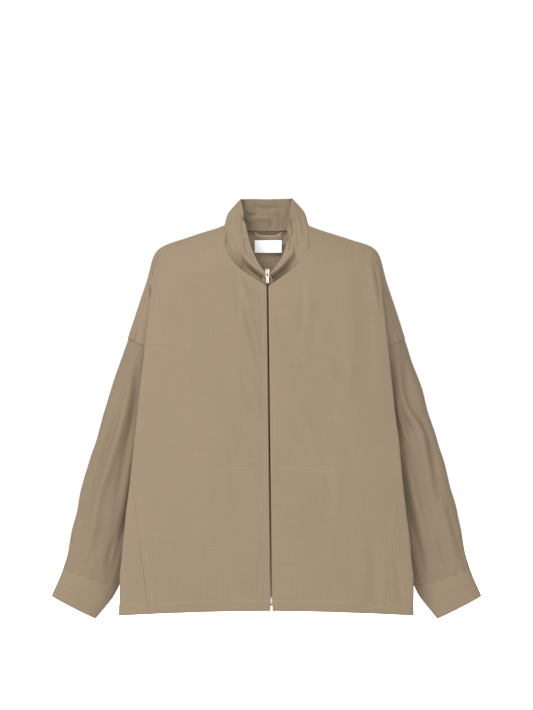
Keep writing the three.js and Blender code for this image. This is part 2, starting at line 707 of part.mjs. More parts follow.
const shell = bodyShell();
jacket.add(zipFrame);
piece("back_panel", geometryOf(shell.intersect(backRegion())), cloth(0xa28f74));
piece("collar_outer", collarOuter(), cloth(0xa69479));
piece("collar_lining", collarLining(), cloth(0x9e8d75));
piece("hanger_loop", hangerLoop(), cloth(0x9a8870));
piece("neck_label", neckLabel(), cloth(0xf1f1ec));
for (const [hand, side] of [["left", -1], ["right", 1]]) {
  const epsilon = seamGap / 90;
  piece(`front_panel_${hand}`, geometryOf(shell.intersect(frontRegion(side))), cloth(0xa6947b));
  piece(`side_panel_${hand}`, geometryOf(shell.intersect(sideRegion(side))), cloth(0xa3917a));
  const sleeve = armSleeve(side, sleeveSeam + epsilon, cuffSeam, 0, clothWall);
  piece(`sleeve_${hand}`, sleeve, cloth(0xa08e75));
  piece(`sleeve_placket_${hand}`, placket(side), cloth(0x9c8a72));
  const cuff = armSleeve(side, cuffSeam + 0.01, armEnd, -cuffSwell, clothWall);
  piece(`cuff_${hand}`, cuff, cloth(0xa39279));
  piece(`cuff_button_${hand}`, cuffButton(side), cloth(0x6b5b48));
  piece(`zip_tape_${hand}`, zipTape(side), cloth(0x75634f), zipFrame);
  piece(`zip_coil_${hand}`, zipCoil(side), cloth(0x4a3d35), zipFrame);
  piece(`zip_top_stop_${hand}`, topStop(side), metal(0xd8cdb8), zipFrame);
  piece(`front_facing_${hand}`, facing(side), cloth(0x9e8c74), zipFrame);
  piece(`pocket_bag_${hand}`, pocketBag(side), cloth(0x9e8c74), zipFrame);
}
piece("zip_slider", slider(), metal(0xd8cdb8), zipFrame);
piece("zip_pull", pull(), metal(0xe2d8c4), zipFrame);
piece("zip_box", zipBox(), metal(0xd8cdb8), zipFrame);
piece("zip_pin", zipPin(), metal(0xd8cdb8), zipFrame);

export default jacket;
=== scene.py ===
# Zip-front jacket with a stand collar, hanging upright: cloth, stitching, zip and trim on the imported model.
import math

import bmesh
import bpy
import numpy as np
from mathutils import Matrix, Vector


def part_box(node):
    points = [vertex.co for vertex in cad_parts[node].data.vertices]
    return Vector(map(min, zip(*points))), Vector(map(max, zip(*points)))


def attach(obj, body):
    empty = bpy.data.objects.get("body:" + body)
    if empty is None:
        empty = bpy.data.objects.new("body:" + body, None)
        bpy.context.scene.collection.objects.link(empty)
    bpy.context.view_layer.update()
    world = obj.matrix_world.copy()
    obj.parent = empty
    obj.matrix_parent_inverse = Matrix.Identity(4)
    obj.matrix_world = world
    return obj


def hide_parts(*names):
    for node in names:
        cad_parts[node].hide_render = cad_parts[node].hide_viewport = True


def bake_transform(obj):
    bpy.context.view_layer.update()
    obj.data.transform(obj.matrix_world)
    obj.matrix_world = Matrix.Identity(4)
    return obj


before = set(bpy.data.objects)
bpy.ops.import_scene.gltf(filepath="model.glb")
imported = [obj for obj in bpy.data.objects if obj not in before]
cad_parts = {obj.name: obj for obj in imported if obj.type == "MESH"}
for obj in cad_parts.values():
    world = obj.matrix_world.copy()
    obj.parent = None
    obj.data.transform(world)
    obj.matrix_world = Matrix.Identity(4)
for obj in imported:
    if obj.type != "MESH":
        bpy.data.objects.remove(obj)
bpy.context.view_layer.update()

MM = 0.001  # shapes are worked out in millimetres


def cad(node):
    """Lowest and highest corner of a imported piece, in millimetres."""
    return np.array(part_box(node)) / MM


# ------------------------------------------------------------------ driving sizes, in millimetres
HEM_HALF = cad("side_panel_right")[1][0]
HEM_DROP = 2.5  # how much lower the hem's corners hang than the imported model's
HEM_CORNER_Z = cad("side_panel_right")[0][2] - HEM_DROP
FRONT_DEPTH = -cad("front_panel_right")[0][1]
COLLAR_TOP_Z = cad("collar_outer")[1][2]
HEM_ARCH = 10.5
HEM_WIDE_Z = HEM_CORNER_Z + 77
HEM_TURN = 19.5  # height of the turned hem
CHEST_HALF = 212
CHEST_Z = -90
FRONT_EDGE = 30
BACK_DEPTH = 48
BACK_EDGE = 25
SIDE_TUCK = 45  # how much narrower the back is than the front
SHOULDER_ROUND = 90
UNDERARM_Z = -226
NECK_HALF = 75.5
NECK_DROP = 100
ZIP_TOP_X = 2
ZIP_LEAN = 0.01175
ZIP_SLOT = 2.9
FOLD_RADIUS = 4.5
FOLD_TURN = math.radians(150)
SIDE_BACK_Y = 22
CLOTH = 0.7  # thickness of the drawn cloth, then of the pieces made of other cloth or of several layers
COLLAR_CLOTH = 0.8
CUFF_CLOTH = 1.3
PLACKET_CLOTH = 1.0
LIGHT_CLOTH = 0.6
LABEL_CLOTH = 0.35
TAPE_CLOTH = 0.5
FOLD_STRENGTH = 1.9
PITCH = 2.6  # spacing of the cloth's points
STITCH = 2.5
STITCH_PITCH = 3.0
STITCH_RADIUS = 0.4
SEAM_ROW = 2.4  # from a seam or an edge to the stitching beside it
ZIP_ROWS = (2.4, 8.2)
SIDE_ROWS = (2.2, 8.6)
COLLAR_ROWS = (2.2, 8.0)
POCKET_LEVELS = (-434, -441.5)
SIDES = (("left", -1), ("right", 1))

# Silhouette of the shoulder and the top of the arm, [x, z] from the collar outwards.
SILHOUETTE = [(75.5, 15.7), (91, 9), (150, -10.7), (193, -25.5), (205, -34.5), (212, -47), (222, -84),
              (243, -146), (260, -200), (268, -226)]
# The forward shoulder seam, which lies a little in front of that ridge.
SHOULDER_SEAM = [(76, 3), (91, -2), (193, -36), (208, -62), (231, -146), (253, -226)]
# The neckline, from the shoulder down to the zip, and round the back.
NECKLINE = [(75.5, 15.7), (76.4, -8), (73.5, -32), (55, -62), (27, -83), (1.8, -100)]
BACK_NECKLINE = [(0, 3.2), (32, 3.6), (58, 8), (75.5, 15.7)]

# The arm at the top, by height: outer edge, inner edge, middle depth, half depth and slant of its section.
ARM_Z = [-200, -146, -84, -46]
ARM_TOP = {"outer": [260, 243, 222, 203], "inner": [192, 176, 160, 150], "middle": [28, 22, 12, 4],
           "half": [36, 37, 34, 26], "slant": [0.38, 0.45, 0.61, 0.64]}

# Stations down the arm: outer edge, inner edge, middle depth and half depth.
ARM_OUTER = [(203, -46), (222, -84), (243, -146), (260, -200), (291, -291), (348.5, -486), (380, -624),
             (402, -677)]
ARM_INNER = [(150, -80), (160, -122), (176, -176), (192, -226), (214, -320), (249.5, -520), (276, -661),
             (318, -720)]
ARM_DEPTH = [(4, 26), (12, 34), (22, 37), (28, 36), (27, 32), (22, 26), (20, 20), (18, 17)]
SLEEVE_SEAM = 3
CUFF_SEAM = 6
ARM_END = 7
ARM_ROW_RISE = 0.382  # how steeply the rows of cloth at the top of the arm run
ARM_LINING = 9  # depth of a line inside the arm that stitches point away from
BUTTON_ANGLE = 0.7 * math.pi

# The neck seam round to the zip, [x, z], and how far the middle and the top of the collar lie from it,
# as shares of the collar's height.
NECK_SEAM = [(0, 0), (32, 0.5), (58, 6), (75.5, 15.7), (76, -8), (73.5, -32), (55, -62), (27, -83),
             (1.8, -100)]
COLLAR_MIDDLE = [(0, 0.05, 0.5), (-0.03, 0.09, 0.5), (-0.065, 0.19, 0.42), (-0.105, 0.23, 0.36),
                 (-0.08, 0.45, 0.57), (-0.14, 0.31, 0.62), (-0.1, 0.16, 0.62), (0, 0.057, 0.44),
                 (0, 0.011, 0.42)]
COLLAR_TOP = [(0, 0.03, 1), (-0.13, 0.07, 1), (-0.24, 0.2, 0.9), (-0.45, 0.42, 0.74), (-0.47, 0.71, 1.04),
              (-0.46, 0.67, 1.25), (-0.19, 0.51, 1.46), (0.21, 0.29, 1.49), (0.555, 0.1, 1.45)]
NAPE_LIFT = 3.2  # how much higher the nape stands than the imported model's
COLLAR_TURN = 5  # how far the open edges of the collar turn in
TRIM_SHIFT = 3.3  # how far off the middle the label and the loop are sewn


# ------------------------------------------------------------------ number tools
def lerp(a, b, share):
    return a + (b - a) * share


def smooth(value, start, end):
    share = np.clip((value - start) / (end - start), 0, 1)
    return share * share * (3 - 2 * share)


def unit(vectors):
    return vectors / np.maximum(np.linalg.norm(vectors, axis=-1, keepdims=True), 1e-9)


def passed(line):
    """Length passed at each place of a line."""
    return np.concatenate([[0], np.cumsum(np.linalg.norm(np.diff(line, axis=0), axis=-1))])


def round_turns(count):
    """Evenly spaced angles once round."""
    return np.linspace(0, 2 * math.pi, count + 1)[:-1]


def spline(points, shares):
    """Centripetal curve through the points; shares from 0 to 1 give the places on it."""
    points = np.asarray(points, float)
    last = len(points) - 1
    place = np.clip(shares, 0, 1) * last
    k = np.minimum(place.astype(int), last - 1)
    w = (place - k)[..., None]
    padded = np.vstack([2 * points[0] - points[1], points, 2 * points[-1] - points[-2]])
    p0, p1, p2, p3 = (padded[k + i] for i in range(4))
    d0, d1, d2 = (
        np.maximum(np.linalg.norm(b - a, axis=-1, keepdims=True), 1e-6) ** 0.5
        for a, b in ((p0, p1), (p1, p2), (p2, p3))
    )
    t1 = ((p1 - p0) / d0 - (p2 - p0) / (d0 + d1) + (p2 - p1) / d1) * d1
    t2 = ((p2 - p1) / d1 - (p3 - p1) / (d1 + d2) + (p3 - p2) / d2) * d1
    return (2 * p1 - 2 * p2 + t1 + t2) * w**3 + (3 * p2 - 3 * p1 - 2 * t1 - t2) * w**2 + t1 * w + p1


def x_at(points, z):
    """X of an outline at a height; the outline's z falls from its first point to its last."""
    dense = spline(points, np.linspace(0, 1, 400))
    return np.interp(-np.asarray(z, float), -dense[:, 1], dense[:, 0])


def waves(x, z, size, seed):
    """Smooth repeatable unevenness between -1 and 1, with bumps about size apart."""
    lattice = np.random.default_rng(seed).uniform(-1, 1, (64, 64))
    u = np.asarray(x, float) / size + 31.7
    v = np.asarray(z, float) / size + 57.3
    i = np.floor(u).astype(int)
    k = np.floor(v).astype(int)
    fu = smooth(u - i, 0, 1)
    fv = smooth(v - k, 0, 1)
    corner = [[lattice[(i + a) % 64, (k + b) % 64] for b in (0, 1)] for a in (0, 1)]
    return lerp(lerp(corner[0][0], corner[1][0], fu), lerp(corner[0][1], corner[1][1], fu), fv)


def route_distance(x, z, route):
    """Signed distance of many places from a route, and the share of the route passed."""
    best = np.full(np.shape(x), 1e9)
    signed = np.zeros(np.shape(x))
    share = np.zeros(np.shape(x))
    shares = passed(route) / passed(route)[-1]
    for k, (a, b) in enumerate(zip(route[:-1], route[1:])):
        step = b - a
        t = np.clip(((x - a[0]) * step[0] + (z - a[1]) * step[1]) / (step @ step), 0, 1)
        dx = x - a[0] - t * step[0]
        dz = z - a[1] - t * step[1]
        away = np.hypot(dx, dz)
        side = np.sign(step[0] * dz - step[1] * dx)
        nearer = away < best
        best = np.where(nearer, away, best)
        signed = np.where(nearer, away * side, signed)
        share = np.where(nearer, lerp(shares[k], shares[k + 1], t), share)
    return signed, share


# ------------------------------------------------------------------ folds in the cloth
# Each fold is a route in [x, z], a half width and a height. A crease sinks along its route, a roll stands
# out, and a drape rises on one side of its route and sinks on the other.
def fold(kind, route, width, height):
    return kind, spline(route, np.linspace(0, 1, 12)), width, height


def crease(route, width, depth):
    return fold("crease", route, width, -depth)


def roll(route, width, height):
    return fold("roll", route, width, height)


def drape(route, width, height):
    return fold("drape", route, width, height)


def fold_height(x, z, folds):
    total = np.zeros(np.shape(x))
    for kind, route, width, height in folds:
        signed, share = route_distance(x, z, route)
        fade = np.sin(np.pi * np.clip(share, 0.02, 0.98)) ** 0.6
        profile = np.exp(-((signed / width) ** 2))
        if kind == "drape":
            profile = profile * signed / width * 2.2
        total += height * fade * profile
    return total


FRONT_FOLDS = [
    # from the left of the neckline down to the zip
    drape([(-50, -86), (-33, -160), (-12, -232), (2, -270)], 5, 1.5),
    drape([(-36, -92), (-26, -110), (-17, -126)], 3.5, 1.3),
    drape([(-52, -70), (-50, -120), (-44, -170)], 6, 0.8),
    drape([(-40, -260), (-22, -318), (-4, -372)], 8, 1.1),
    crease([(-24, -400), (-12, -440), (-6, -486)], 6, 0.7),
    crease([(-6, -570), (-14, -620), (-10, -668)], 5, 0.5),
    # broad soft folds on the right
    drape([(20, -140), (60, -210), (122, -276)], 17, 1.5),
    drape([(34, -316), (62, -350), (92, -410)], 12, 1.3),
    drape([(112, -430), (124, -474), (120, -520)], 12, 0.7),
    drape([(70, -92), (72, -150), (66, -206)], 10, 0.6),
    crease([(14, -446), (20, -478), (16, -520)], 6, 0.5),
    crease([(12, -600), (30, -650), (22, -690)], 7, 0.5),
    # from the shoulder tips
    drape([(-196, -46), (-202, -90), (-210, -140)], 7, 1.0),
    drape([(196, -46), (202, -92), (212, -146)], 7, -1.0),
    crease([(-222, -88), (-219, -102), (-216, -122)], 2.6, 3.0),
    crease([(219, -84), (222, -100), (226, -126)], 2.6, 3.2),
    crease([(228, -112), (234, -136), (236, -156)], 3.2, 1.6),
    crease([(-228, -98), (-231, -124), (-233, -150)], 3.2, 1.0),
    drape([(-150, -60), (-158, -180), (-150, -320)], 22, 0.9),
    drape([(160, -60), (170, -190), (168, -330)], 22, -0.9),
    drape([(-190, -520), (-184, -600), (-196, -690)], 16, 0.7),
    drape([(180, -540), (190, -620), (184, -700)], 16, -0.7),
    crease([(236, -600), (244, -640), (250, -690)], 6, 1.0),
]

SLEEVE_FOLDS = [
    # the left sleeve
    drape([(-252, -226), (-266, -310), (-288, -392), (-306, -448), (-322, -500), (-338, -604)], 11, 3.4),
    drape([(-236, -240), (-240, -330), (-258, -420), (-276, -520)], 9, 1.6),
    drape([(-318, -420), (-334, -480), (-352, -560)], 9, 1.3),
    crease([(-280, -560), (-292, -600), (-300, -640)], 6, 1.6),
    crease([(-246, -470), (-268, -560), (-290, -640)], 7, 1.8),
    crease([(-322, -590), (-330, -610), (-344, -634)], 5, 1.2),
    # the right sleeve
    drape([(250, -230), (262, -320), (290, -360), (303, -414), (316, -486)], 11, -3.2),
    drape([(244, -300), (254, -346), (270, -392)], 7, -2.2),
    drape([(266, -420), (284, -500), (300, -560)], 10, -2.2),
    crease([(258, -500), (276, -560), (296, -640)], 7, 2.0),
    crease([(318, -560), (330, -600), (346, -636)], 6, 1.4),
    drape([(330, -500), (346, -560), (360, -610)], 9, -1.2),
]

BACK_FOLDS = [
    drape([(-150, -120), (-130, -240), (-136, -420)], 20, 2.2),
    drape([(150, -120), (132, -250), (140, -430)], 20, -2.2),
    drape([(-60, -160), (-50, -330), (-58, -560)], 26, 1.6),
    drape([(54, -200), (62, -380), (50, -600)], 26, -1.6),
    crease([(-176, -230), (-150, -300), (-120, -340)], 10, 2.6),
    crease([(176, -230), (152, -296), (124, -344)], 10, 2.6),
    drape([(-250, -240), (-282, -380), (-330, -600)], 13, 3.0),
    drape([(252, -240), (286, -390), (334, -600)], 13, -3.0),
    drape([(-226, -300), (-250, -450), (-286, -620)], 10, 2.0),
    drape([(228, -300), (252, -450), (290, -620)], 10, -2.0),
    drape([(0, -30), (4, -120), (-2, -240)], 30, 0.8),
]

COLLAR_FOLDS = [
    crease([(-49, 44), (-56, 13), (-50, -24), (-43, -52), (-41, -66)], 2.2, 2.4),
    crease([(-66, 30), (-64, 6), (-57, -22)], 2.6, 1.5),
    crease([(-60, 10), (-56, -20), (-47, -46)], 2.2, 1.5),
    drape([(-40, 40), (-45, 8), (-34, -30)], 3, 0.9),
    crease([(-70, 12), (-70, -12), (-62, -40)], 2.4, 1.2),
    crease([(53, 30), (57, 0), (63, -26), (69, -46)], 2.6, 2.6),
    crease([(45, 30), (50, -10), (53, -40), (48, -64)], 2.2, 1.9),
    drape([(40, 40), (47, 10), (42, -30)], 3, -0.9),
    crease([(62, 34), (68, 8), (70, -16)], 3, 1.2),
    crease([(36, 16), (44, -14), (42, -42)], 2.0, 1.3),
    crease([(-36, 6), (-40, -20), (-34, -44)], 2.0, 1.2),
    crease([(-34, -64), (-20, -76), (-10, -82)], 2.4, 0.9),
    crease([(36, -58), (24, -72), (12, -80)], 2.4, 0.9),
]

LINING_FOLDS = [
    crease([(-46, 34), (-40, 22), (-28, 17)], 3.4, 3.2),
    crease([(-40, 40), (-30, 34), (-18, 36)], 3.6, 1.8),
    roll([(-34, 28), (-10, 30), (12, 24)], 6, 1.4),
    crease([(8, 34), (9, 20), (10, 6)], 3.5, 1.2),
    crease([(20, 40), (26, 24), (24, 8)], 3.5, 1.6),
    crease([(-24, 52), (0, 48), (24, 50)], 5, 1.0),
    roll([(34, 44), (30, 24), (36, 8)], 4, 1.2),
]


# ------------------------------------------------------------------ shape of the body
def body_half(z):
    return lerp(CHEST_HALF, HEM_HALF, np.clip((CHEST_Z - z) / (CHEST_Z - HEM_WIDE_Z), 0, 1))


def back_half(z):
    return body_half(z) - SIDE_TUCK * smooth(-np.asarray(z, float), 60, -UNDERARM_Z)


def silhouette_z(x):
    """Height of the ridge of the shoulder, and outside it of the arm's outer edge."""
    x = np.abs(x)
    inside = np.maximum(0, NECK_HALF - x)
    ridge = 9 + (91 - x) * np.where(x < 91, 0.43, 1 / 3) + inside**2 * 0.012
    dense = spline(SILHOUETTE[2:], np.linspace(0, 1, 300))
    return np.where(x < SILHOUETTE[2][0], ridge, np.interp(x, dense[:, 0], dense[:, 1]))


def edge_y(z):
    return np.interp(z, [*ARM_Z, -28], [*ARM_TOP["middle"], 0])


def rounding(x, z):
    away = 1 - np.clip((silhouette_z(x) - z) / SHOULDER_ROUND, 0, 1)
    return np.sqrt(np.maximum(0, 1 - away**2))


def panel_y(x, z, back):
    """Depth of the body's cloth, with no regard to the arm."""
    if back:
        flat = BACK_EDGE + (BACK_DEPTH - BACK_EDGE) * (1 - np.minimum(np.abs(x) / back_half(z), 1) ** 3)
    else:
        flat = -FRONT_EDGE - (FRONT_DEPTH - FRONT_EDGE) * (1 - np.minimum(np.abs(x) / body_half(z), 1) ** 3)
    edge = edge_y(z)
    return edge + rounding(x, z) * (flat - edge)


def arm_y(x, z, back):
    """Depth of the top of the arm, whose sections slant."""
    level = z + (np.interp(z, ARM_Z, ARM_TOP["outer"]) - x) * np.interp(z, ARM_Z, ARM_TOP["slant"])
    outer, inner, middle, half = (
        np.interp(level, ARM_Z, ARM_TOP[key]) for key in ("outer", "inner", "middle", "half")
    )
    across = (x - (outer + inner) / 2) / ((outer - inner) / 2)
    depth = half * np.sqrt(np.maximum(0, 1 - across**2))
    return middle + depth if back else middle - depth


def fold_share(z):
    """How far the body's side fold has formed at a height."""
    return smooth(-np.asarray(z, float), 76, 122)


def arm_front_y(x, z):
    """Depth of the cloth in front of the top of the arm."""
    return lerp(panel_y(x, z, False), arm_y(x, z, False), fold_share(z))


def back_y(x, z):
    body = panel_y(x, z, True)
    arm = lerp(body, arm_y(x, z, True), smooth(-np.asarray(z, float), 50, 110))
    soft = 9
    share = np.clip(0.5 + (body - arm) / (2 * soft), 0, 1)
    return lerp(arm, body, share) + soft * share * (1 - share)


def around_fold(reach, z):
    """A place on the front: reach goes out along X to the side fold, round it, and on towards the back."""
    radius = FOLD_RADIUS * fold_share(z) + 0.01
    flat = body_half(z) - radius
    turn = np.clip((reach - flat) / radius, 0, FOLD_TURN)
    start = panel_y(flat, z, False)
    x = np.where(reach < flat, reach, flat + radius * np.sin(turn))
    y = np.where(reach < flat, panel_y(reach, z, False), start + radius * (1 - np.cos(turn)))
    rest = np.maximum(0, reach - flat - radius * FOLD_TURN)
    wall_x = back_half(z) - x
    wall_y = SIDE_BACK_Y - y
    span = np.hypot(wall_x, wall_y)
    below = z < UNDERARM_Z + 30
    step_x = np.where(below, wall_x / span * rest, -rest)
    step_y = np.where(below, wall_y / span * rest, rest * 0.3)
    return x + step_x, y + step_y


def fold_reach(z):
    """Reach of the end of the fold's turn."""
    radius = FOLD_RADIUS * fold_share(z) + 0.01
    return body_half(z) - radius + radius * FOLD_TURN


def wall_reach(z):
    """Reach of the side panel's back seam."""
    end = fold_reach(z)
    x, y = around_fold(end, z)
    return end + np.hypot(back_half(z) - x, SIDE_BACK_Y - y)


def side_seam_reach(z):
    """Reach of the seam between the front and the side panel: inside the fold, then out onto the front."""
    top_z = HEM_CORNER_Z + 245
    on_front = lerp(body_half(top_z) - 5, HEM_HALF - 55, (top_z - z) / 238)
    return lerp(fold_reach(z) + 3, on_front, smooth(-z, -top_z - 34, -top_z + 6))


def zip_x(z):
    return ZIP_TOP_X + ZIP_LEAN * np.maximum(0, -NECK_DROP - z)


def inner_x(z, side):
    """Where a front starts: at the neckline, then at its edge beside the zip."""
    neck = x_at(NECKLINE, z) + side * ZIP_TOP_X * smooth(-z, 60, NECK_DROP)
    return np.where(z > -NECK_DROP, neck, side * zip_x(z) + ZIP_SLOT / 2)


def arch(x, z):
    """How much a row of the cloth is lifted towards the arched hem."""
    return HEM_ARCH * (1 - np.minimum(np.abs(x) / body_half(z), 1) ** 2) * smooth(-z, 560, -HEM_CORNER_Z)


def mirrored(side, x, y, z):
    x, y, z = np.broadcast_arrays(x, y, z)
    return np.stack([side * x, y, z], axis=-1)


def front_rows():
    rows = np.linspace(3, HEM_CORNER_Z, int((3 - HEM_CORNER_Z) / PITCH))
    return np.sort(np.concatenate([rows, np.linspace(2.2, -34, 18)]))[::-1]


def front_main(side):
    """The front out to its side fold or shoulder seam, and the share of its folds that each point takes."""
    z = front_rows()[:, None]
    seam = x_at(SHOULDER_SEAM, z)
    end = np.where(z > -76, np.minimum(seam, body_half(z)), fold_reach(z) + 3)
    end = np.where(z < UNDERARM_Z - 40, side_seam_reach(z), end)
    share = np.concatenate([np.linspace(0, 0.93, 78), np.linspace(0.93, 1, 16)[1:]])[None, :]
    reach = lerp(inner_x(z, side), end, share)
    x, y = around_fold(reach, z)
    x = np.where(z > -76, np.minimum(x, seam), x)
    turned = smooth(reach, fold_reach(z) - 6, fold_reach(z)) * fold_share(z)
    height = z + arch(x, z)
    beside_zip = (1 - smooth(reach - inner_x(height, side), 5, 20)) * smooth(-height, 90, 112)
    return mirrored(side, x, y + 0.9 * beside_zip, height), (1 - turned) * (1 - beside_zip)


def front_flap(side):
    """The part in front of the arm's top: in from the side fold, then out to the shoulder seam."""
    rows = front_rows()
    rows = rows[(rows <= -74) & (rows >= UNDERARM_Z)][:, None]
    across = np.linspace(0, 1, 14)[None, :]
    z = rows + 0 * across
    for _ in range(3):
        first = np.minimum(body_half(z) - 7 * fold_share(z), x_at(SHOULDER_SEAM, z))
        x = lerp(first, x_at(SHOULDER_SEAM, z), across)
        z = rows + (x - 192) * ARM_ROW_RISE * smooth(-rows, 90, -UNDERARM_Z)
    y = arm_front_y(x, z)
    wall_x, wall_y = around_fold(fold_reach(z[:, :1]) + 1, z[:, :1])
    inward = np.linspace(0, 1, 7)[None, :-1]
    x = np.concatenate([lerp(wall_x, x[:, :1], inward), x], axis=1)
    y = np.concatenate([lerp(wall_y, y[:, :1], inward), y], axis=1)
    z = np.concatenate([z[:, :1] + 0 * inward, z], axis=1)
    column = np.arange(z.shape[1])
    return mirrored(side, x, y, z), smooth(column, 6, 11) * (1 - smooth(column, 15, 19)) + 0 * z


def side_grid(side):
    rows = np.linspace(UNDERARM_Z + 29, HEM_CORNER_Z, int((UNDERARM_Z - HEM_CORNER_Z) / PITCH))
    z = rows[:, None]
    reach = lerp(side_seam_reach(z), wall_reach(z), np.linspace(0, 1, 44)[None, :])
    x, y = around_fold(reach, z)
    return mirrored(side, x, y, z + arch(x, z))


def back_rows():
    """Heights of the back's rows: those down to the underarm, and all of them down to the hem."""
    upper = np.concatenate([np.linspace(15.7, 8, 7), [6.5, 5.4, 4.6, 4, 3.6, 3.4, 3.25],
                            np.linspace(3, UNDERARM_Z, 92)])
    lower = np.linspace(UNDERARM_Z, HEM_CORNER_Z, int((UNDERARM_Z - HEM_CORNER_Z) / PITCH))[1:]
    return upper[:, None], np.concatenate([upper, lower])[:, None]


def back_edges(z):
    """Where half of the back starts at the neckline, and ends on the shoulder, beside the arm or below."""
    valley = np.interp(z, [-226, -176, -122, -80, -50], [182, 179, 167, 157, 160])
    inner = np.where(z > 3.2, x_at(BACK_NECKLINE[::-1], z), 0)
    shoulder = lerp(inner, x_at(SILHOUETTE, z), 0.75)
    edge = np.where(z < -50, valley, shoulder)
    return inner, np.where(z < UNDERARM_Z, back_half(z), edge)


def back_body(side):
    z = back_rows()[1]
    inner, edge = back_edges(z)
    x = lerp(inner, edge, np.sin(np.linspace(0, 1, 84) * math.pi / 2)[None, :] ** 0.9)
    corner = np.clip((x - edge + 10) / 10, 0, 1) * smooth(-z, -UNDERARM_Z, 260)
    y = np.where(z < UNDERARM_Z, panel_y(x, z, True), back_y(x, z)) - 3 * (1 - np.sqrt(1 - corner**2))
    return mirrored(side, x, y, z + arch(x, z))


def back_arm(side):
    """The top of the arm, from the back's edge over the shoulder and forward to the shoulder seam."""
    rows = back_rows()[0]
    start = back_edges(rows)[1]
    turn = np.linspace(0, 1, 44)[None, :]
    ahead = turn > 0.68
    z = rows + 0 * turn
    for _ in range(3):
        outer = x_at(SILHOUETTE, z)
        behind = lerp(start, outer, np.sin(np.minimum(turn / 0.68, 1) * math.pi / 2))
        past = np.clip((turn - 0.68) / 0.32, 0, 1)
        before = lerp(outer, x_at(SHOULDER_SEAM, z), 1 - np.cos(past * math.pi / 2))
        x = np.where(ahead, before, behind)
        z = rows + (x - start) * ARM_ROW_RISE * smooth(-rows, 90, -UNDERARM_Z)
    front = arm_front_y(x, z) - 0.35 * smooth(turn, 0.72, 0.9)
    return mirrored(side, x, np.where(ahead, front, back_y(x, z)), z)


# ------------------------------------------------------------------ shape of the arm and the collar
def arm_point(side, station, angle, inset):
    """A place on the arm; the angle goes round it from the outer edge by the back."""
    station, angle = np.broadcast_arrays(station, angle)
    share = station / ARM_END
    outer = spline(ARM_OUTER, share)
    inner = spline(ARM_INNER, share)
    depth = spline(ARM_DEPTH, share)
    middle = (outer + inner) / 2
    reach = outer - middle
    length = np.linalg.norm(reach, axis=-1)
    wide = np.cos(angle) * (1 - inset / length)
    past = np.maximum(0, share - 1) * ARM_END * 60 / length
    x = middle[..., 0] + reach[..., 0] * wide + reach[..., 1] * past
    z = middle[..., 1] + reach[..., 1] * wide - reach[..., 0] * past
    y = depth[..., 0] + np.sin(angle) * (depth[..., 1] - inset)
    return mirrored(side, x, y, z)


def collar_rings():
    """The neck seam, the middle of the stand and the top edge, as points round one half of the neck."""
    seam = np.array([(x, panel_y(x, z, k < 3), z) for k, (x, z) in enumerate(NECK_SEAM)])
    seam[3, 1] = -2
    return seam, seam + COLLAR_TOP_Z * np.array(COLLAR_MIDDLE), seam + COLLAR_TOP_Z * np.array(COLLAR_TOP)


def collar_point(u, v):
    """A place on the collar: u from -1 at the left front edge to 1 at the right, v from the seam up."""
    u, v = np.broadcast_arrays(u, v)
    share = np.abs(u)
    seam, middle, top = (spline(points, share) for points in collar_rings())
    t = v[..., None]
    bend = 2 * middle - (seam + top) / 2
    curved = (1 - t) ** 2 * seam + 2 * t * (1 - t) * bend + t**2 * top
    straight = np.where(t < 0.5, lerp(seam, middle, t * 2), lerp(middle, top, t * 2 - 1))
    point = lerp(straight, curved, 0.45)
    opening = np.sin(np.pi * np.clip((v - 0.42) / 0.58, 0, 1)) * smooth(share, 0.7, 1)
    x = (point[..., 0] + (9 + 1.5 * u) * opening) * np.sign(u) + ZIP_TOP_X * share**4
    y = point[..., 1] + COLLAR_TURN * smooth(share, 0.84, 1) * smooth(v, 0.42, 0.7)
    nape = NAPE_LIFT * (1 - smooth(share, 0.2, 0.5))
    corner = 2.6 * v * smooth(u, 0.1, 0.45) * (1 - smooth(u, 0.5, 0.75))
    return np.stack([x, y, point[..., 2] + nape + corner], axis=-1)


# ------------------------------------------------------------------ meshes
def grid_normals(grid, away_from):
    """Normals of a grid of points, turned away from a place or a line of places."""
    normal = unit(np.cross(np.gradient(grid, axis=1), np.gradient(grid, axis=0)))
    facing = np.sum(normal * (grid - away_from), axis=-1)
    return normal * (1 if np.median(facing) > 0 else -1)


def new_object(name, points, faces, uvs=None):
    mesh = bpy.data.meshes.new(name)
    mesh.from_pydata((np.asarray(points) * MM).tolist(), [], faces)
    if uvs is not None:
        layer = mesh.uv_layers.new(name="cloth")
        corners = np.empty(len(mesh.loops), dtype=np.int32)
        mesh.loops.foreach_get("vertex_index", corners)
        layer.data.foreach_set("uv", (np.asarray(uvs)[corners] * MM).ravel())
    mesh.shade_smooth()
    obj = bpy.data.objects.new(name, mesh)
    bpy.context.scene.collection.objects.link(obj)
    return obj


def grid_faces(rows, cols, first=0, closed=False):
    k = np.arange(rows * cols).reshape(rows, cols) + first
    if closed:
        k = np.concatenate([k, k[:, :1]], axis=1)
    quads = np.stack([k[:-1, :-1], k[:-1, 1:], k[1:, 1:], k[1:, :-1]], axis=-1)
    return quads.reshape(-1, 4).tolist()


def tube_faces(rows, sides):
    """Faces of a closed tube of rings, with a cap at each end."""
    caps = [list(range(sides))[::-1], list(range((rows - 1) * sides, rows * sides))]
    return grid_faces(rows, sides, closed=True) + caps


def squared(turns, power):
    """Cosine and sine of the turns, drawn out towards a rounded square."""
    return (np.sign(wave) * np.abs(wave) ** power for wave in (np.cos(turns), np.sin(turns)))


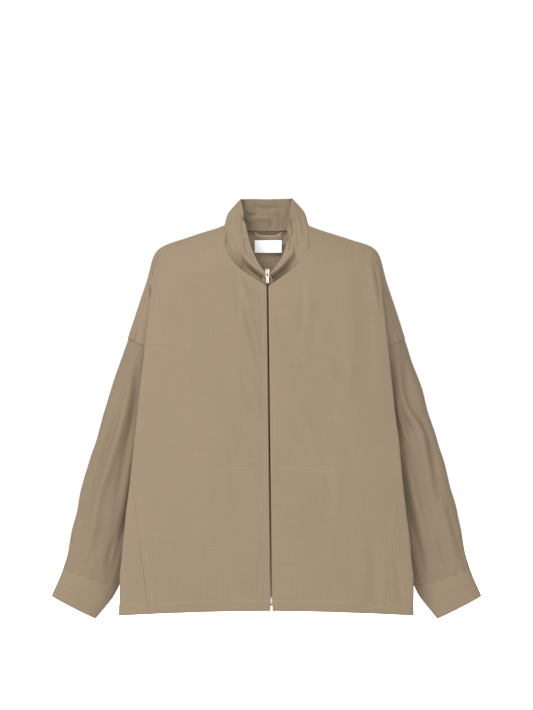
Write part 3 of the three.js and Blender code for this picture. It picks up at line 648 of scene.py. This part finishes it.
def arc_lengths(grid):
    """Distance across and down the cloth of every point, so that the weave keeps its size."""
    across = np.linalg.norm(np.diff(grid, axis=1), axis=-1)
    down = np.linalg.norm(np.diff(grid, axis=0), axis=-1)
    u = np.concatenate([np.zeros((grid.shape[0], 1)), np.cumsum(across, axis=1)], axis=1)
    v = np.concatenate([np.zeros((1, grid.shape[1])), np.cumsum(down, axis=0)], axis=0)
    return u, v


def cloth_piece(name, grids, body, replaced, material, wall=CLOTH,
                tube=False, reverse=None):
    """One cut piece of cloth made of grids that share edges; the weave of a tube goes round it."""
    points = []
    faces = []
    uvs = []
    widest = 0
    longest = 0
    for grid in grids:
        rows, cols = grid.shape[:2]
        flip = np.sum(np.cross(grid[0, 1] - grid[0, 0], grid[1, 0] - grid[0, 0])) < 0
        quads = grid_faces(rows, cols, sum(len(p) for p in points))
        faces += [quad[::-1] for quad in quads] if flip else quads
        u, v = arc_lengths(grid)
        points.append(grid.reshape(-1, 3))
        uvs.append((np.stack([u, v], axis=-1) if tube else grid[..., [0, 2]]).reshape(-1, 2))
        widest = max(widest, u.max())
        longest = max(longest, v.max())
    obj = new_object(name, np.concatenate(points), faces, np.concatenate(uvs))
    edit = bmesh.new()
    edit.from_mesh(obj.data)
    bmesh.ops.remove_doubles(edit, verts=edit.verts, dist=0.12 * MM)
    bmesh.ops.recalc_face_normals(edit, faces=edit.faces)
    edit.to_mesh(obj.data)
    edit.free()
    solidify = obj.modifiers.new("cloth", "SOLIDIFY")
    solidify.thickness = wall * MM
    solidify.offset = 0
    obj.data.materials.append(material)
    if reverse:
        obj.data.materials.append(reverse)
        solidify.material_offset = 1
    finish_piece(obj, body, replaced)
    return obj


def finish_piece(obj, body, replaced):
    if body:
        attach(obj, body)
    if replaced:
        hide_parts(*replaced)


def shared_normals(grids):
    """Normals of several grids, averaged where their points meet, so that no crack opens between them."""
    normals = [grid_normals(grid, off_axis(grid)) for grid in grids]
    points = np.concatenate([grid.reshape(-1, 3) for grid in grids])
    _, group = np.unique(np.round(points, 1), axis=0, return_inverse=True)
    group = group.ravel()
    total = np.zeros((group.max() + 1, 3))
    np.add.at(total, group, np.concatenate([normal.reshape(-1, 3) for normal in normals]))
    mean = unit(total[group])
    sizes = np.cumsum([grid.shape[0] * grid.shape[1] for grid in grids])[:-1]
    return [part.reshape(grid.shape) for part, grid in zip(np.split(mean, sizes), grids)]


def displaced(grid, normal, folds, amount=1.0, depth_sign=0):
    """The grid with its folds and slight unevenness; depth_sign picks the side that faces that way."""
    x = grid[..., 0]
    z = grid[..., 2]
    height = fold_height(x, z, folds) * amount * FOLD_STRENGTH
    if depth_sign:
        height = height * smooth(normal[..., 1] * depth_sign, 0.1, 0.6)
    height = height + (waves(x, z, 46, 5) * 0.8 + waves(x, z * 0.6, 19, 9) * 0.3) * np.minimum(amount, 1)
    return grid + normal * height[..., None]


# ------------------------------------------------------------------ stitching
STITCHES = {"jacket": [], "left_sleeve": [], "right_sleeve": []}


def sample(grid, rows, cols):
    """Places on a grid at fractional rows and columns."""
    rows, cols = np.broadcast_arrays(np.asarray(rows, float), np.asarray(cols, float))
    rows = np.clip(rows, 0, grid.shape[0] - 1.001)
    cols = np.clip(cols, 0, grid.shape[1] - 1.001)
    i = rows.astype(int)
    k = cols.astype(int)
    along = (cols - k)[..., None]
    upper = lerp(grid[i, k], grid[i, k + 1], along)
    lower = lerp(grid[i + 1, k], grid[i + 1, k + 1], along)
    return lerp(upper, lower, (rows - i)[..., None])


def column_at(grid, row, distance, from_end=False):
    """Fractional column at a distance from one side of a row."""
    line = sample(grid, row, np.arange(grid.shape[1]))
    if from_end:
        line = line[::-1]
    column = np.interp(distance, passed(line), np.arange(len(line)))
    return grid.shape[1] - 1 - column if from_end else column


def row_at(grid, column, distance, from_end=False):
    return column_at(np.swapaxes(grid, 0, 1), column, distance, from_end)


def stitch_line(body, line, normal, lift=0.3):
    """Adds a run of stitches along a line of places on the cloth."""
    lengths = passed(line)
    starts = np.arange(0, lengths[-1] - STITCH, STITCH_PITCH)

    def place(where, values):
        return np.stack([np.interp(where, lengths, values[:, k]) for k in range(3)], axis=-1)

    out = place(starts, normal)
    a = place(starts, line)
    b = place(starts + STITCH, line)
    STITCHES[body].append((a + out * 0.1, b + out * 0.1, (a + b) / 2 + out * lift, out))


def make_stitches(material):
    for body, runs in STITCHES.items():
        if not runs:
            continue
        a, b, middle, out = (np.concatenate([run[k] for run in runs]) for k in range(4))
        across = np.cross(unit(b - a), out)
        ring = [middle + (across * math.cos(t) + out * math.sin(t)) * STITCH_RADIUS for t in round_turns(6)]
        points = np.stack([a, *ring, b], axis=1).reshape(-1, 3)
        faces = []
        for k in range(len(a)):
            base = k * 8
            for t in range(6):
                after = 1 + (t + 1) % 6
                faces.append([base, base + after, base + 1 + t])
                faces.append([base + 7, base + 1 + t, base + after])
        obj = new_object(f"stitching_{body}", points, faces)
        obj.data.materials.append(material)
        finish_piece(obj, body, ())


def stitch_rows(body, grid, away_from, rows, cols):
    normal = grid_normals(grid, away_from)
    stitch_line(body, sample(grid, rows, cols), sample(normal, rows, cols))


def stitch_down(body, grid, away_from, rows, distances, from_end=False):
    """A run of stitches down the cloth at each distance from one side of it."""
    for distance in distances:
        cols = [column_at(grid, row, distance, from_end) for row in rows]
        stitch_rows(body, grid, away_from, rows, cols)


# ------------------------------------------------------------------ materials
def node(tree, kind, **settings):
    made = tree.nodes.new(kind)
    for key, value in settings.items():
        if key in made.inputs:
            made.inputs[key].default_value = value
        else:
            setattr(made, key, value)
    return made


def streaks(tree, uv, scale, detail):
    """Noise drawn out along one direction of the cloth."""
    mapping = node(tree, "ShaderNodeMapping", Scale=scale)
    tree.links.new(uv.outputs["UV"], mapping.inputs["Vector"])
    noise = node(tree, "ShaderNodeTexNoise", Scale=1.0, Detail=detail, Roughness=0.55)
    tree.links.new(mapping.outputs["Vector"], noise.inputs["Vector"])
    return noise.outputs["Fac"]


def math_node(tree, operation, *values):
    made = node(tree, "ShaderNodeMath", operation=operation)
    for socket, value in zip(made.inputs, values):
        if isinstance(value, (int, float)):
            socket.default_value = value
        else:
            tree.links.new(value, socket)
    return made.outputs["Value"]


def new_material(name):
    material = bpy.data.materials.new(name)
    material.use_nodes = True
    tree = material.node_tree
    return material, tree, tree.nodes["Principled BSDF"]


def colour_and_gloss(tree, shader, colour, contrast, tone, grain, roughness, swing):
    """Colour that varies with the tone, and roughness that swings with the grain."""
    mix = node(tree, "ShaderNodeMix", data_type="RGBA")
    for socket, change in (("A", -contrast), ("B", contrast)):
        mix.inputs[socket].default_value = (*[min(1, c * (1 + change)) for c in colour], 1)
    tree.links.new(tone, mix.inputs["Factor"])
    tree.links.new(mix.outputs["Result"], shader.inputs["Base Color"])
    rough = math_node(tree, "MULTIPLY_ADD", grain, swing, roughness - swing / 2)
    tree.links.new(rough, shader.inputs["Roughness"])


def relief(tree, shader, height, strength, depth):
    bump = node(tree, "ShaderNodeBump", Strength=strength, Distance=depth)
    tree.links.new(height, bump.inputs["Height"])
    tree.links.new(bump.outputs["Normal"], shader.inputs["Normal"])


def woven(name, colour, contrast=0.09, thread=0.00042, sheen=0.06, roughness=0.82, bump=0.25):
    """Plain weave: slub streaks both ways, slow colour drift, and the threads themselves in the relief."""
    material, tree, shader = new_material(name)
    uv = node(tree, "ShaderNodeUVMap", uv_map="cloth")
    warp = streaks(tree, uv, (520, 13, 1), 4.0)
    weft = streaks(tree, uv, (13, 520, 1), 4.0)
    drift = streaks(tree, uv, (9, 6, 1), 2.0)
    slub = math_node(tree, "MULTIPLY_ADD", warp, 0.4, math_node(tree, "MULTIPLY", weft, 0.4))
    mixed = math_node(tree, "MULTIPLY_ADD", drift, 0.2, slub)
    tone = math_node(tree, "MULTIPLY_ADD", mixed, 2.2, -0.6)
    colour_and_gloss(tree, shader, colour, contrast, tone, mixed, roughness, 0.12)
    separate = node(tree, "ShaderNodeSeparateXYZ")
    tree.links.new(uv.outputs["UV"], separate.inputs[0])
    turns = 2 * math.pi / thread
    phases = [math_node(tree, "MULTIPLY", separate.outputs[way], turns) for way in ("X", "Y")]
    threads = math_node(tree, "MULTIPLY", *[math_node(tree, "SINE", phase) for phase in phases])
    relief(tree, shader, math_node(tree, "MULTIPLY_ADD", threads, 0.25, mixed), bump, 0.0003)
    shader.inputs["Sheen Weight"].default_value = sheen
    shader.inputs["Sheen Tint"].default_value = (*[min(1, 4 * c) for c in colour], 1)
    shader.inputs["Sheen Roughness"].default_value = 0.5
    shader.inputs["Specular IOR Level"].default_value = 0.25
    return material


def grained(name, colour, metallic, roughness, contrast, scale, bump):
    """Metal, plastic or thread: fine uneven grain in the colour, the roughness and the relief."""
    material, tree, shader = new_material(name)
    place = node(tree, "ShaderNodeTexCoord")
    noise = node(tree, "ShaderNodeTexNoise", Scale=scale, Detail=4.0, Roughness=0.6)
    tree.links.new(place.outputs["Object"], noise.inputs["Vector"])
    grain = noise.outputs["Fac"]
    colour_and_gloss(tree, shader, colour, contrast, grain, grain, roughness, 0.2)
    relief(tree, shader, grain, bump, 0.0001)
    shader.inputs["Metallic"].default_value = metallic
    return material


SHELL = woven("shell_cloth", (0.129, 0.0965, 0.062), 0.12)
# The sleeve cloth is the shell cloth made about 8% darker: painted shade on the sleeves.
SHADED_SLEEVE = woven("shaded_sleeve_cloth", (0.119, 0.088, 0.0565), 0.12)
REVERSE = woven("shell_reverse", (0.21, 0.155, 0.105), 0.12)
TAPE = woven("zip_tape", (0.10, 0.074, 0.052), 0.2, 0.0008, 0.1, 0.8, 0.5)
LABEL = woven("label_cloth", (0.74, 0.74, 0.71), 0.02, 0.0003, 0.1, 0.6, 0.15)
THREAD = grained("thread", (0.215, 0.165, 0.112), 0.0, 0.6, 0.12, 900, 0.3)
COIL = grained("zip_coil", (0.11, 0.08, 0.057), 0.0, 0.45, 0.3, 700, 0.2)
METAL = grained("zip_metal", (0.24, 0.215, 0.18), 1.0, 0.42, 0.08, 600, 0.15)
BUTTON = grained("button", (0.13, 0.095, 0.065), 0.0, 0.3, 0.45, 160, 0.1)


# ------------------------------------------------------------------ body panels
def off_axis(grid, share=0.55):
    """A place inside the body at each point's height, at that share of its way from the middle."""
    return grid * [share, 0, 1]


def hem_roll(grid):
    """The turned hem stands a little proud of the cloth above it."""
    normal = grid_normals(grid, off_axis(grid))
    above = grid[..., 2] - (HEM_CORNER_Z + HEM_ARCH * (1 - (np.abs(grid[..., 0]) / HEM_HALF) ** 2))
    return grid + normal * (0.5 * (1 - smooth(above, HEM_TURN - 1, HEM_TURN + 1)))[..., None]


def stitch_hem(grid):
    rows = np.array([row_at(grid, k, HEM_TURN, True) for k in range(grid.shape[1])])
    cols = np.arange(grid.shape[1])
    stitch_rows("jacket", grid, off_axis(grid), rows, cols)


def with_folds(grid, folds, share=1.0, depth_sign=0):
    return displaced(grid, grid_normals(grid, off_axis(grid)), folds, share, depth_sign)


def make_front(hand, side):
    shapes = (front_main(side), front_flap(side))
    main, flap = (with_folds(grid, FRONT_FOLDS, share) for grid, share in shapes)
    main = hem_roll(main)
    cloth_piece(f"front_cloth_{hand}", [main, flap], "jacket", [f"front_panel_{hand}"], SHELL)
    stitch_front(main)
    stitch_pocket(main, side)
    stitch_down("jacket", flap, off_axis(flap), np.arange(6, len(flap)), [SEAM_ROW], True)


def stitch_front(main):
    inside = off_axis(main)
    heights = main[:, 0, 2]
    stitch_hem(main)
    stitch_down("jacket", main, inside, np.flatnonzero(heights < -NECK_DROP - 2), ZIP_ROWS)
    stitch_down("jacket", main, inside, np.flatnonzero((heights < 2) & (heights > -60)), [SEAM_ROW], True)
    stitch_down("jacket", main, inside, np.flatnonzero(heights < HEM_CORNER_Z + 250), SIDE_ROWS, True)


def stitch_pocket(main, side):
    """Two rows of stitches beside each other, under which the mouth of the inside pocket lies."""
    heights = main[:, 0, 2]
    for level in POCKET_LEVELS:
        row = np.interp(-level, -heights, np.arange(len(heights)))
        x = np.linspace(15, 132, 50) + side * zip_x(level)
        line = sample(main, row, np.arange(main.shape[1]))
        cols = np.interp(x, side * line[:, 0], np.arange(main.shape[1]))
        stitch_rows("jacket", main, off_axis(main), row, cols)


def make_side_panel(hand, side):
    panel = hem_roll(with_folds(side_grid(side), FRONT_FOLDS, depth_sign=-1))
    cloth_piece(f"side_cloth_{hand}", [panel], "jacket", [f"side_panel_{hand}"], SHELL)
    stitch_hem(panel)
    stitch_down("jacket", panel, off_axis(panel), np.arange(len(panel)), [SEAM_ROW], True)


def make_back():
    flat = [shape(side) for _, side in SIDES for shape in (back_body, back_arm)]
    grids = [displaced(grid, normal, BACK_FOLDS, 1.0, 1) for grid, normal in zip(flat, shared_normals(flat))]
    for k in (0, 2):
        grids[k] = hem_roll(grids[k])
        stitch_hem(grids[k])
    cloth_piece("back_cloth", grids, "jacket", ["back_panel"], SHELL,
                reverse=REVERSE)


# ------------------------------------------------------------------ sleeves and cuffs
def arm_axis(grid):
    return np.broadcast_to(grid.mean(axis=1, keepdims=True), grid.shape)


def make_sleeves():
    for hand, side in SIDES:
        body = f"{hand}_sleeve"
        stations = np.linspace(SLEEVE_SEAM - 0.06, CUFF_SEAM + 0.05, 180)[:, None]
        angles = np.linspace(0, 2 * math.pi, 141)[None, :] + BUTTON_ANGLE
        tube = arm_point(side, stations, angles, 0.9)
        normal = grid_normals(tube, arm_axis(tube))
        folded = displaced(displaced(tube, normal, SLEEVE_FOLDS, 1.0, -1), normal, BACK_FOLDS, 1.0, 1)
        ease = smooth(stations, SLEEVE_SEAM, SLEEVE_SEAM + 0.3)
        ease = ease * (1 - smooth(stations, CUFF_SEAM - 0.25, CUFF_SEAM))
        gathers = np.sin(angles * 15) * 0.4 * smooth(stations, CUFF_SEAM - 0.5, CUFF_SEAM)
        tube = lerp(tube, folded, ease[..., None])
        tube = tube + grid_normals(tube, arm_axis(tube)) * gathers[..., None]
        tube[:, -1] = tube[:, 0]
        sleeve = cloth_piece(f"shaded_sleeve_cloth_{hand}", [tube], None, [f"sleeve_{hand}"], SHADED_SLEEVE, tube=True)
        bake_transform(sleeve)
        stitch_sleeve_seam(side)
        make_cuff(hand, side, body)
        make_placket(hand, side, body)


def stitch_sleeve_seam(side):
    angles = np.linspace(-0.95, 1.9, 70)
    for away in (0.04, 0.13):
        line, inner = (arm_point(side, SLEEVE_SEAM - away, angles, depth) for depth in (0.2, ARM_LINING))
        stitch_line("jacket", line, unit(line - inner))


def make_cuff(hand, side, body):
    turn = np.linspace(-0.16, 2 * math.pi + 0.3, 200)[None, :]
    stations = np.linspace(CUFF_SEAM, ARM_END, 44)[:, None]
    lift = -0.9 + 1.4 * smooth(turn, 2 * math.pi - 0.6, 2 * math.pi - 0.1)
    round_off = 0.5 * np.abs((stations - CUFF_SEAM) * 2 - 1) ** 8
    band = arm_point(side, stations, turn + BUTTON_ANGLE - 0.1, round_off - lift)
    band = displaced(band, grid_normals(band, arm_axis(band)), SLEEVE_FOLDS, 0.2, -1)
    cloth_piece(f"cuff_cloth_{hand}", [band], body, [f"cuff_{hand}"], SHELL, CUFF_CLOTH, tube=True)
    axis = arm_axis(band)
    columns = np.arange(2, band.shape[1] - 2)
    for away, from_end in ((1.8, False), (6.2, True), (1.8, True)):
        rows = [row_at(band, k, away, from_end) for k in columns]
        stitch_rows(body, band, axis, rows, columns)
    stitch_down(body, band, axis, np.arange(1, len(band) - 1), [2.0], True)
    make_buttonhole(body, band, axis)
    make_button_thread(hand, body)


def make_buttonhole(body, band, axis):
    """Two close rows of thread either side of the slit that the button goes through."""
    middle = row_at(band, band.shape[1] - 20, 29)
    for shift in (-1.1, 1.1):
        rows = middle + shift * len(band) / 60 * np.ones(30)
        cols = np.linspace(band.shape[1] - 16, band.shape[1] - 7, 30)
        stitch_rows(body, band, axis, rows, cols)


def make_button_thread(hand, body):
    """Thread crossed through the button's four holes."""
    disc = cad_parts[f"cuff_button_{hand}"].data
    places = np.empty(len(disc.vertices) * 3)
    disc.vertices.foreach_get("co", places)
    places = places.reshape(-1, 3) / MM
    centre = places.mean(axis=0)
    _, _, axes = np.linalg.svd(places - centre)
    out = axes[2] * (1 if axes[2][1] > 0 else -1)
    for k, across in enumerate((axes[0] + axes[1], axes[0] - axes[1])):
        across = unit(across) * 1.7
        turns = np.linspace(0, 1, 9)
        line = centre + np.outer(np.cos(turns * math.pi), across)
        line = line + np.outer(1.1 + 0.35 * np.sin(turns * math.pi), out)
        thread = tube_object(f"button_thread_{hand}_{k}", line, 0.32, THREAD)
        finish_piece(thread, body, ())


def make_placket(hand, side, body):
    """The bound slit above the cuff, inside the back of the sleeve."""
    stations = np.linspace(CUFF_SEAM - 0.88, CUFF_SEAM - 0.08, 60)[:, None]
    angles = np.linspace(0.625, 0.695, 12)[None, :] * math.pi
    strip = arm_point(side, stations, angles, 3.4)
    cloth_piece(f"placket_cloth_{hand}", [strip], body, [f"sleeve_placket_{hand}"], SHELL, PLACKET_CLOTH)
    for angle in (0.61, 0.71):
        line, inner = (
            arm_point(side, stations[:, 0], angle * math.pi, depth) for depth in (-0.1, ARM_LINING)
        )
        stitch_line(body, line, (line - inner) / ARM_LINING)


def tube_object(name, line, radius, material, sides=8):
    """A round thread or wire along a line of places."""
    line = np.asarray(line, float)
    along = unit(np.gradient(line, axis=0))
    across = unit(np.cross(along, [0.31, 0.57, 0.76]))
    up = np.cross(along, across)
    turns = round_turns(sides)
    spokes = across[:, None] * np.cos(turns)[:, None] + up[:, None] * np.sin(turns)[:, None]
    rings = line[:, None] + radius * spokes
    obj = new_object(name, rings.reshape(-1, 3), tube_faces(len(line), sides))
    obj.data.materials.append(material)
    return obj


# ------------------------------------------------------------------ collar
def front_sink(u, v):
    """How far back the collar's lower front falls, behind the neckline."""
    share = np.abs(u)
    reach = smooth(share, 0.66, 0.86) * (1 - 0.55 * smooth(share, 0.95, 0.99))
    return 17 * reach * smooth(v, -0.05, 0.015) * (1 - smooth(v, 0.16, 0.42))


def make_collar_outer():
    u = np.linspace(-1, 1, 300)[None, :]
    v = np.linspace(-0.05, 1, 50)[:, None]
    outer = collar_point(u, v)
    inside = off_axis(outer, 0)
    normal = grid_normals(outer, inside)
    outer = outer + normal * lerp(0.9, -1.0, smooth(np.abs(u), 0.4, 0.6))[..., None]
    outer[..., 1] += front_sink(u, v)
    outer = displaced(outer, normal, COLLAR_FOLDS, smooth(v, 0, 0.1) + 0 * u)
    cloth_piece("collar_cloth_outer", [outer], "jacket", ["collar_outer"], SHELL, COLLAR_CLOTH)
    for from_end in (False, True):
        stitch_down("jacket", outer, inside, np.arange(1, len(outer) - 1), COLLAR_ROWS, from_end)
    columns = np.arange(2, outer.shape[1] - 2)
    stitch_rows("jacket", outer, inside, [row_at(outer, k, COLLAR_ROWS[0], True) for k in columns], columns)


def make_collar_lining():
    u = np.linspace(-0.9, 0.9, 220)[None, :]
    v = np.linspace(0.02, 0.985, 46)[:, None]
    lining = collar_point(u, v)
    inward = -grid_normals(lining, off_axis(lining, 0))
    lining = lining + inward * 2.6
    lining[..., 1] += front_sink(u, v)
    height = fold_height(lining[..., 0], lining[..., 2], LINING_FOLDS) * FOLD_STRENGTH
    lining = lining + inward * height[..., None]
    cloth_piece("collar_cloth_lining", [lining], "jacket", ["collar_lining"], SHELL, COLLAR_CLOTH)
    columns = np.arange(60, 160)
    line = sample(lining, [row_at(lining, k, 5.5) for k in columns], columns)
    stitch_line("jacket", line, sample(inward, 4 + 0 * columns, columns))


# ------------------------------------------------------------------ inside: facings, pockets, label, loop
def leaning(x, y, z):
    """From the zip's own frame, whose origin is at the front neck seam, to the jacket's."""
    x, y, z = np.broadcast_arrays(x, y, z)
    return np.stack([ZIP_TOP_X + x - ZIP_LEAN * z, y, z - NECK_DROP + ZIP_LEAN * x], axis=-1)


def make_inside():
    for hand, side in SIDES:
        low, high = cad(f"front_facing_{hand}")
        z = np.linspace(high[2], low[2], 200)[:, None] + NECK_DROP
        x = side * np.linspace(6.2, 33.8, 14)[None, :]
        y = (low[1] + high[1]) / 2 + 0.3 * waves(z, x, 40, 3)
        strip = leaning(x, y, z)
        cloth_piece(f"facing_cloth_{hand}", [strip], "jacket", [f"front_facing_{hand}"], SHELL, LIGHT_CLOTH)
        make_pocket(hand, side)


def make_pocket(hand, side):
    """The inside pocket: a shallow bag whose rim is sewn to the front."""
    low, high = cad(f"pocket_bag_{hand}")
    back = high[1] - 0.6
    rim = back - 7.6
    across = np.linspace(0, 1, 50)[None, :]
    down = np.linspace(0, 1, 80)[:, None]
    swell = np.minimum(1, 6 * np.minimum(across, 1 - across)) * np.minimum(1, 6 * (1 - down))
    x = side * lerp(15.4, 131.6, across)
    z = lerp(high[2], low[2] + 1, down) + NECK_DROP
    y = lerp(rim, back, np.sqrt(swell)) + 0.4 * waves(x, z, 30, 4) * swell
    bag = leaning(x, y, z)
    cloth_piece(f"pocket_cloth_{hand}", [bag], "jacket", [f"pocket_bag_{hand}"], SHELL, LIGHT_CLOTH)


def make_label():
    low, high = cad("neck_label")
    u = np.linspace(0, 1, 60)[None, :]
    v = np.linspace(0, 1, 30)[:, None]
    x = lerp(low[0] + 0.2, high[0] - 0.2, u) + TRIM_SHIFT
    z = lerp(high[2] - 0.1, low[2] + 0.1, v) + NAPE_LIFT
    edge = np.minimum(np.minimum(u, 1 - u) * 52, np.minimum(v, 1 - v) * 24)
    y = (low[1] + high[1]) / 2 - 0.15 * smooth(edge, 3, 0.6) - 0.5 * np.sin(u * math.pi) * v
    grid = np.stack(np.broadcast_arrays(x, y, z), axis=-1)
    cloth_piece("label_cloth", [grid], "jacket", ["neck_label"], LABEL, LABEL_CLOTH)
    forward = np.array([0.0, -1.0, 0.0])
    for column in (1.2, 57.8):
        line = sample(grid, np.linspace(1, 28, 30), column)
        stitch_line("jacket", line, np.broadcast_to(forward, line.shape), 0.2)


def make_loop():
    """The hanging loop: a folded band whose ends go into the neck seam."""
    low, high = cad("hanger_loop")
    drop = high[2] - low[2]
    half = high[0]
    y = (low[1] + high[1]) / 2 - 1.4
    end = [(half - 14, low[2] + 2.6), (half - 10, low[2] + 3.2), (half - 6.5, high[2] - drop * 0.5),
           (half - 3, high[2])]
    start = [(-x, z) for x, z in reversed(end)]
    line = spline([*start, (0, low[2] + 2.4), *end], np.linspace(0, 1, 90))
    along = unit(np.gradient(line, axis=0))
    wide, thick = squared(round_turns(24), 0.6)
    x = line[:, None, 0] - along[:, None, 1] * wide * 2.5
    z = line[:, None, 1] + along[:, None, 0] * wide * 2.5
    band = np.stack([x + TRIM_SHIFT, y + thick * 0.75 + 0 * x, np.minimum(z, high[2]) + NAPE_LIFT], axis=-1)
    faces = tube_faces(*band.shape[:2])
    uvs = np.stack(arc_lengths(band), axis=-1).reshape(-1, 2)
    obj = new_object("loop_cloth", band.reshape(-1, 3), faces, uvs)
    obj.data.materials.append(REVERSE)
    finish_piece(obj, "loop", ["hanger_loop"])


# ------------------------------------------------------------------ zip
ZIP_Y = -FRONT_DEPTH + 4.2
CHAIN_TOP = 31.3  # above the front neck seam
CHAIN_RISE = 22.5  # from the hem up to the lower end of the coils
CHAIN_BOTTOM = HEM_CORNER_Z + HEM_ARCH + CHAIN_RISE + NECK_DROP


def zip_edge(side, share):
    """A place on one side of the open or closed zip, in the jacket's frame, and the way across its tape."""
    share = np.asarray(share, float)
    straight = leaning(0 * share, ZIP_Y + 0 * share, lerp(CHAIN_BOTTOM, CHAIN_TOP, np.minimum(share, 1)))
    v = lerp(0.5, 0.93, np.clip(share - 1, 0, 1))
    edge = collar_point(side + 0 * v, v)
    across = collar_point(side * 0.94 + 0 * v, v) - edge
    up = unit(collar_point(side + 0 * v, v + 0.02) - edge)
    across = unit(across - up * np.sum(across * up, axis=-1, keepdims=True))
    inward = np.cross(across, up) * -side
    open_edge = edge + inward * (FRONT_DEPTH + ZIP_Y - 0.7) - across * ZIP_SLOT / 2
    bend = smooth(share, 1, 1.12)[..., None]
    flat = np.array([side, 0.0, 0.0])
    return lerp(straight, open_edge, bend), lerp(flat, across, bend), inward


def make_zip():
    stations = np.concatenate([np.linspace(0, 0.995, 260), np.linspace(1, 2, 60)])
    for hand, side in SIDES:
        point, across, _ = zip_edge(side, stations)
        outer = lerp(16, 5, smooth(stations, 0.93, 1))[:, None]
        reach = lerp(3.1, outer, np.linspace(0, 1, 9)[None, :])
        strip = point[:, None] + across[:, None] * reach[..., None]
        cloth_piece(f"tape_cloth_{hand}", [strip], "jacket", [f"zip_tape_{hand}"], TAPE, TAPE_CLOTH)
        make_coil(hand, side)


def make_coil(hand, side):
    """The coil: a flattened spiral of monofilament along the edge of the tape."""
    turns = 420
    steps_per_turn = 6
    share = np.linspace(0, 2, turns * steps_per_turn)
    point, across, _ = zip_edge(side, share)
    phase = passed(point) / passed(point)[-1] * turns * 2 * math.pi
    line = point + across * (1.7 + 0.85 * np.cos(phase))[:, None]
    line[:, 1] += 0.55 * np.sin(phase)
    coil = tube_object(f"coil_{hand}", line, 0.24, COIL, 5)
    finish_piece(coil, "jacket", [f"zip_coil_{hand}"])


def make_top_stops():
    """A small metal clamp that closes each side of the chain at the top."""
    wide, deep = squared(round_turns(16)[:, None], 0.5)
    for hand, side in SIDES:
        point, across, inward = (value[0] for value in zip_edge(side, np.array([1.97])))
        up = np.cross(across, inward)
        points = []
        for level, grow in ((-1.7, 0.75), (-1.3, 1), (1.3, 1), (1.7, 0.75)):
            middle = point + up * level
            points.extend(middle + across * (5.4 + 1.5 * grow * wide) + inward * (3.2 + grow * deep))
        stop = new_object(f"top_stop_{hand}", points, tube_faces(4, 16))
        stop.data.materials.append(METAL)
        finish_piece(stop, "jacket", [f"zip_top_stop_{hand}"])


def dress_cad():
    """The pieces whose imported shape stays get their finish."""
    metal = ("zip_slider", "zip_pull", "zip_box", "zip_pin")
    buttons = ("cuff_button_left", "cuff_button_right")
    for names, material in ((metal, METAL), (buttons, BUTTON)):
        for name in names:
            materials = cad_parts[name].data.materials
            materials.clear()
            materials.append(material)


# ------------------------------------------------------------------ studio
PICTURE_HEIGHT = 1313.5  # how much height the camera takes in at the jacket
LENS = 135
SENSOR = 36
CAMERA_BACK = 30  # a little further away, and higher than the jacket's middle
CAMERA_RISE = 99.3
FLOOR_DROP = 240
FLOOR_HALF = 6000
LIGHTS = (  # name, place and size in metres, watts
    ("key", (-2.7, -4.0, 4.2), 2.6, 520),
    ("fill", (0.15, -5.6, 0.05), 2.4, 190),
    ("back", (0.8, 4.4, 1.8), 3.0, 190),
)
AIM = (0, 0, -0.3)


def add_object(name, data, place, turn):
    made = bpy.data.objects.new(name, data)
    made.location = place
    made.rotation_euler = turn
    bpy.context.scene.collection.objects.link(made)
    return made


def make_world_and_floor():
    scene = bpy.context.scene
    scene.view_settings.view_transform = "Standard"
    world = bpy.data.worlds.new("studio")
    world.use_nodes = True
    background = world.node_tree.nodes["Background"]
    background.inputs["Color"].default_value = (1, 1, 1, 1)
    background.inputs["Strength"].default_value = 1.02
    scene.world = world
    floor_z = cad("cuff_left")[0][2] - FLOOR_DROP
    corners = [(x * FLOOR_HALF, y * FLOOR_HALF, floor_z) for x, y in ((-1, -1), (1, -1), (1, 1), (-1, 1))]
    floor = new_object("floor", corners, [[0, 1, 2, 3]])
    pale, _, shader = new_material("floor")
    shader.inputs["Base Color"].default_value = (0.98, 0.98, 0.98, 1)
    shader.inputs["Roughness"].default_value = 0.9
    floor.data.materials.append(pale)


def make_lights():
    for name, place, size, energy in LIGHTS:
        light = bpy.data.lights.new(name, "AREA")
        light.energy = energy
        light.size = size
        aim = np.subtract(AIM, place)
        tilt = math.acos(-aim[2] / np.linalg.norm(aim))
        add_object(name, light, place, (tilt, 0, math.atan2(aim[1], aim[0]) - math.pi / 2))


def make_camera():
    lens = bpy.data.cameras.new("camera")
    lens.lens = LENS
    lens.sensor_width = SENSOR
    lens.clip_end = 50
    middle = (cad("collar_outer")[1][2] + cad("cuff_left")[0][2]) / 2
    distance = PICTURE_HEIGHT * LENS / SENSOR + CAMERA_BACK
    place = (0, -distance * MM, (middle + CAMERA_RISE) * MM)
    bpy.context.scene.camera = add_object("camera", lens, place, (math.pi / 2, 0, 0))


make_world_and_floor()
make_lights()
make_camera()
for hand, side in SIDES:
    make_front(hand, side)
    make_side_panel(hand, side)
make_back()
make_sleeves()
make_collar_outer()
make_collar_lining()
make_inside()
make_label()
make_loop()
make_zip()
make_top_stops()
dress_cad()
make_stitches(THREAD)
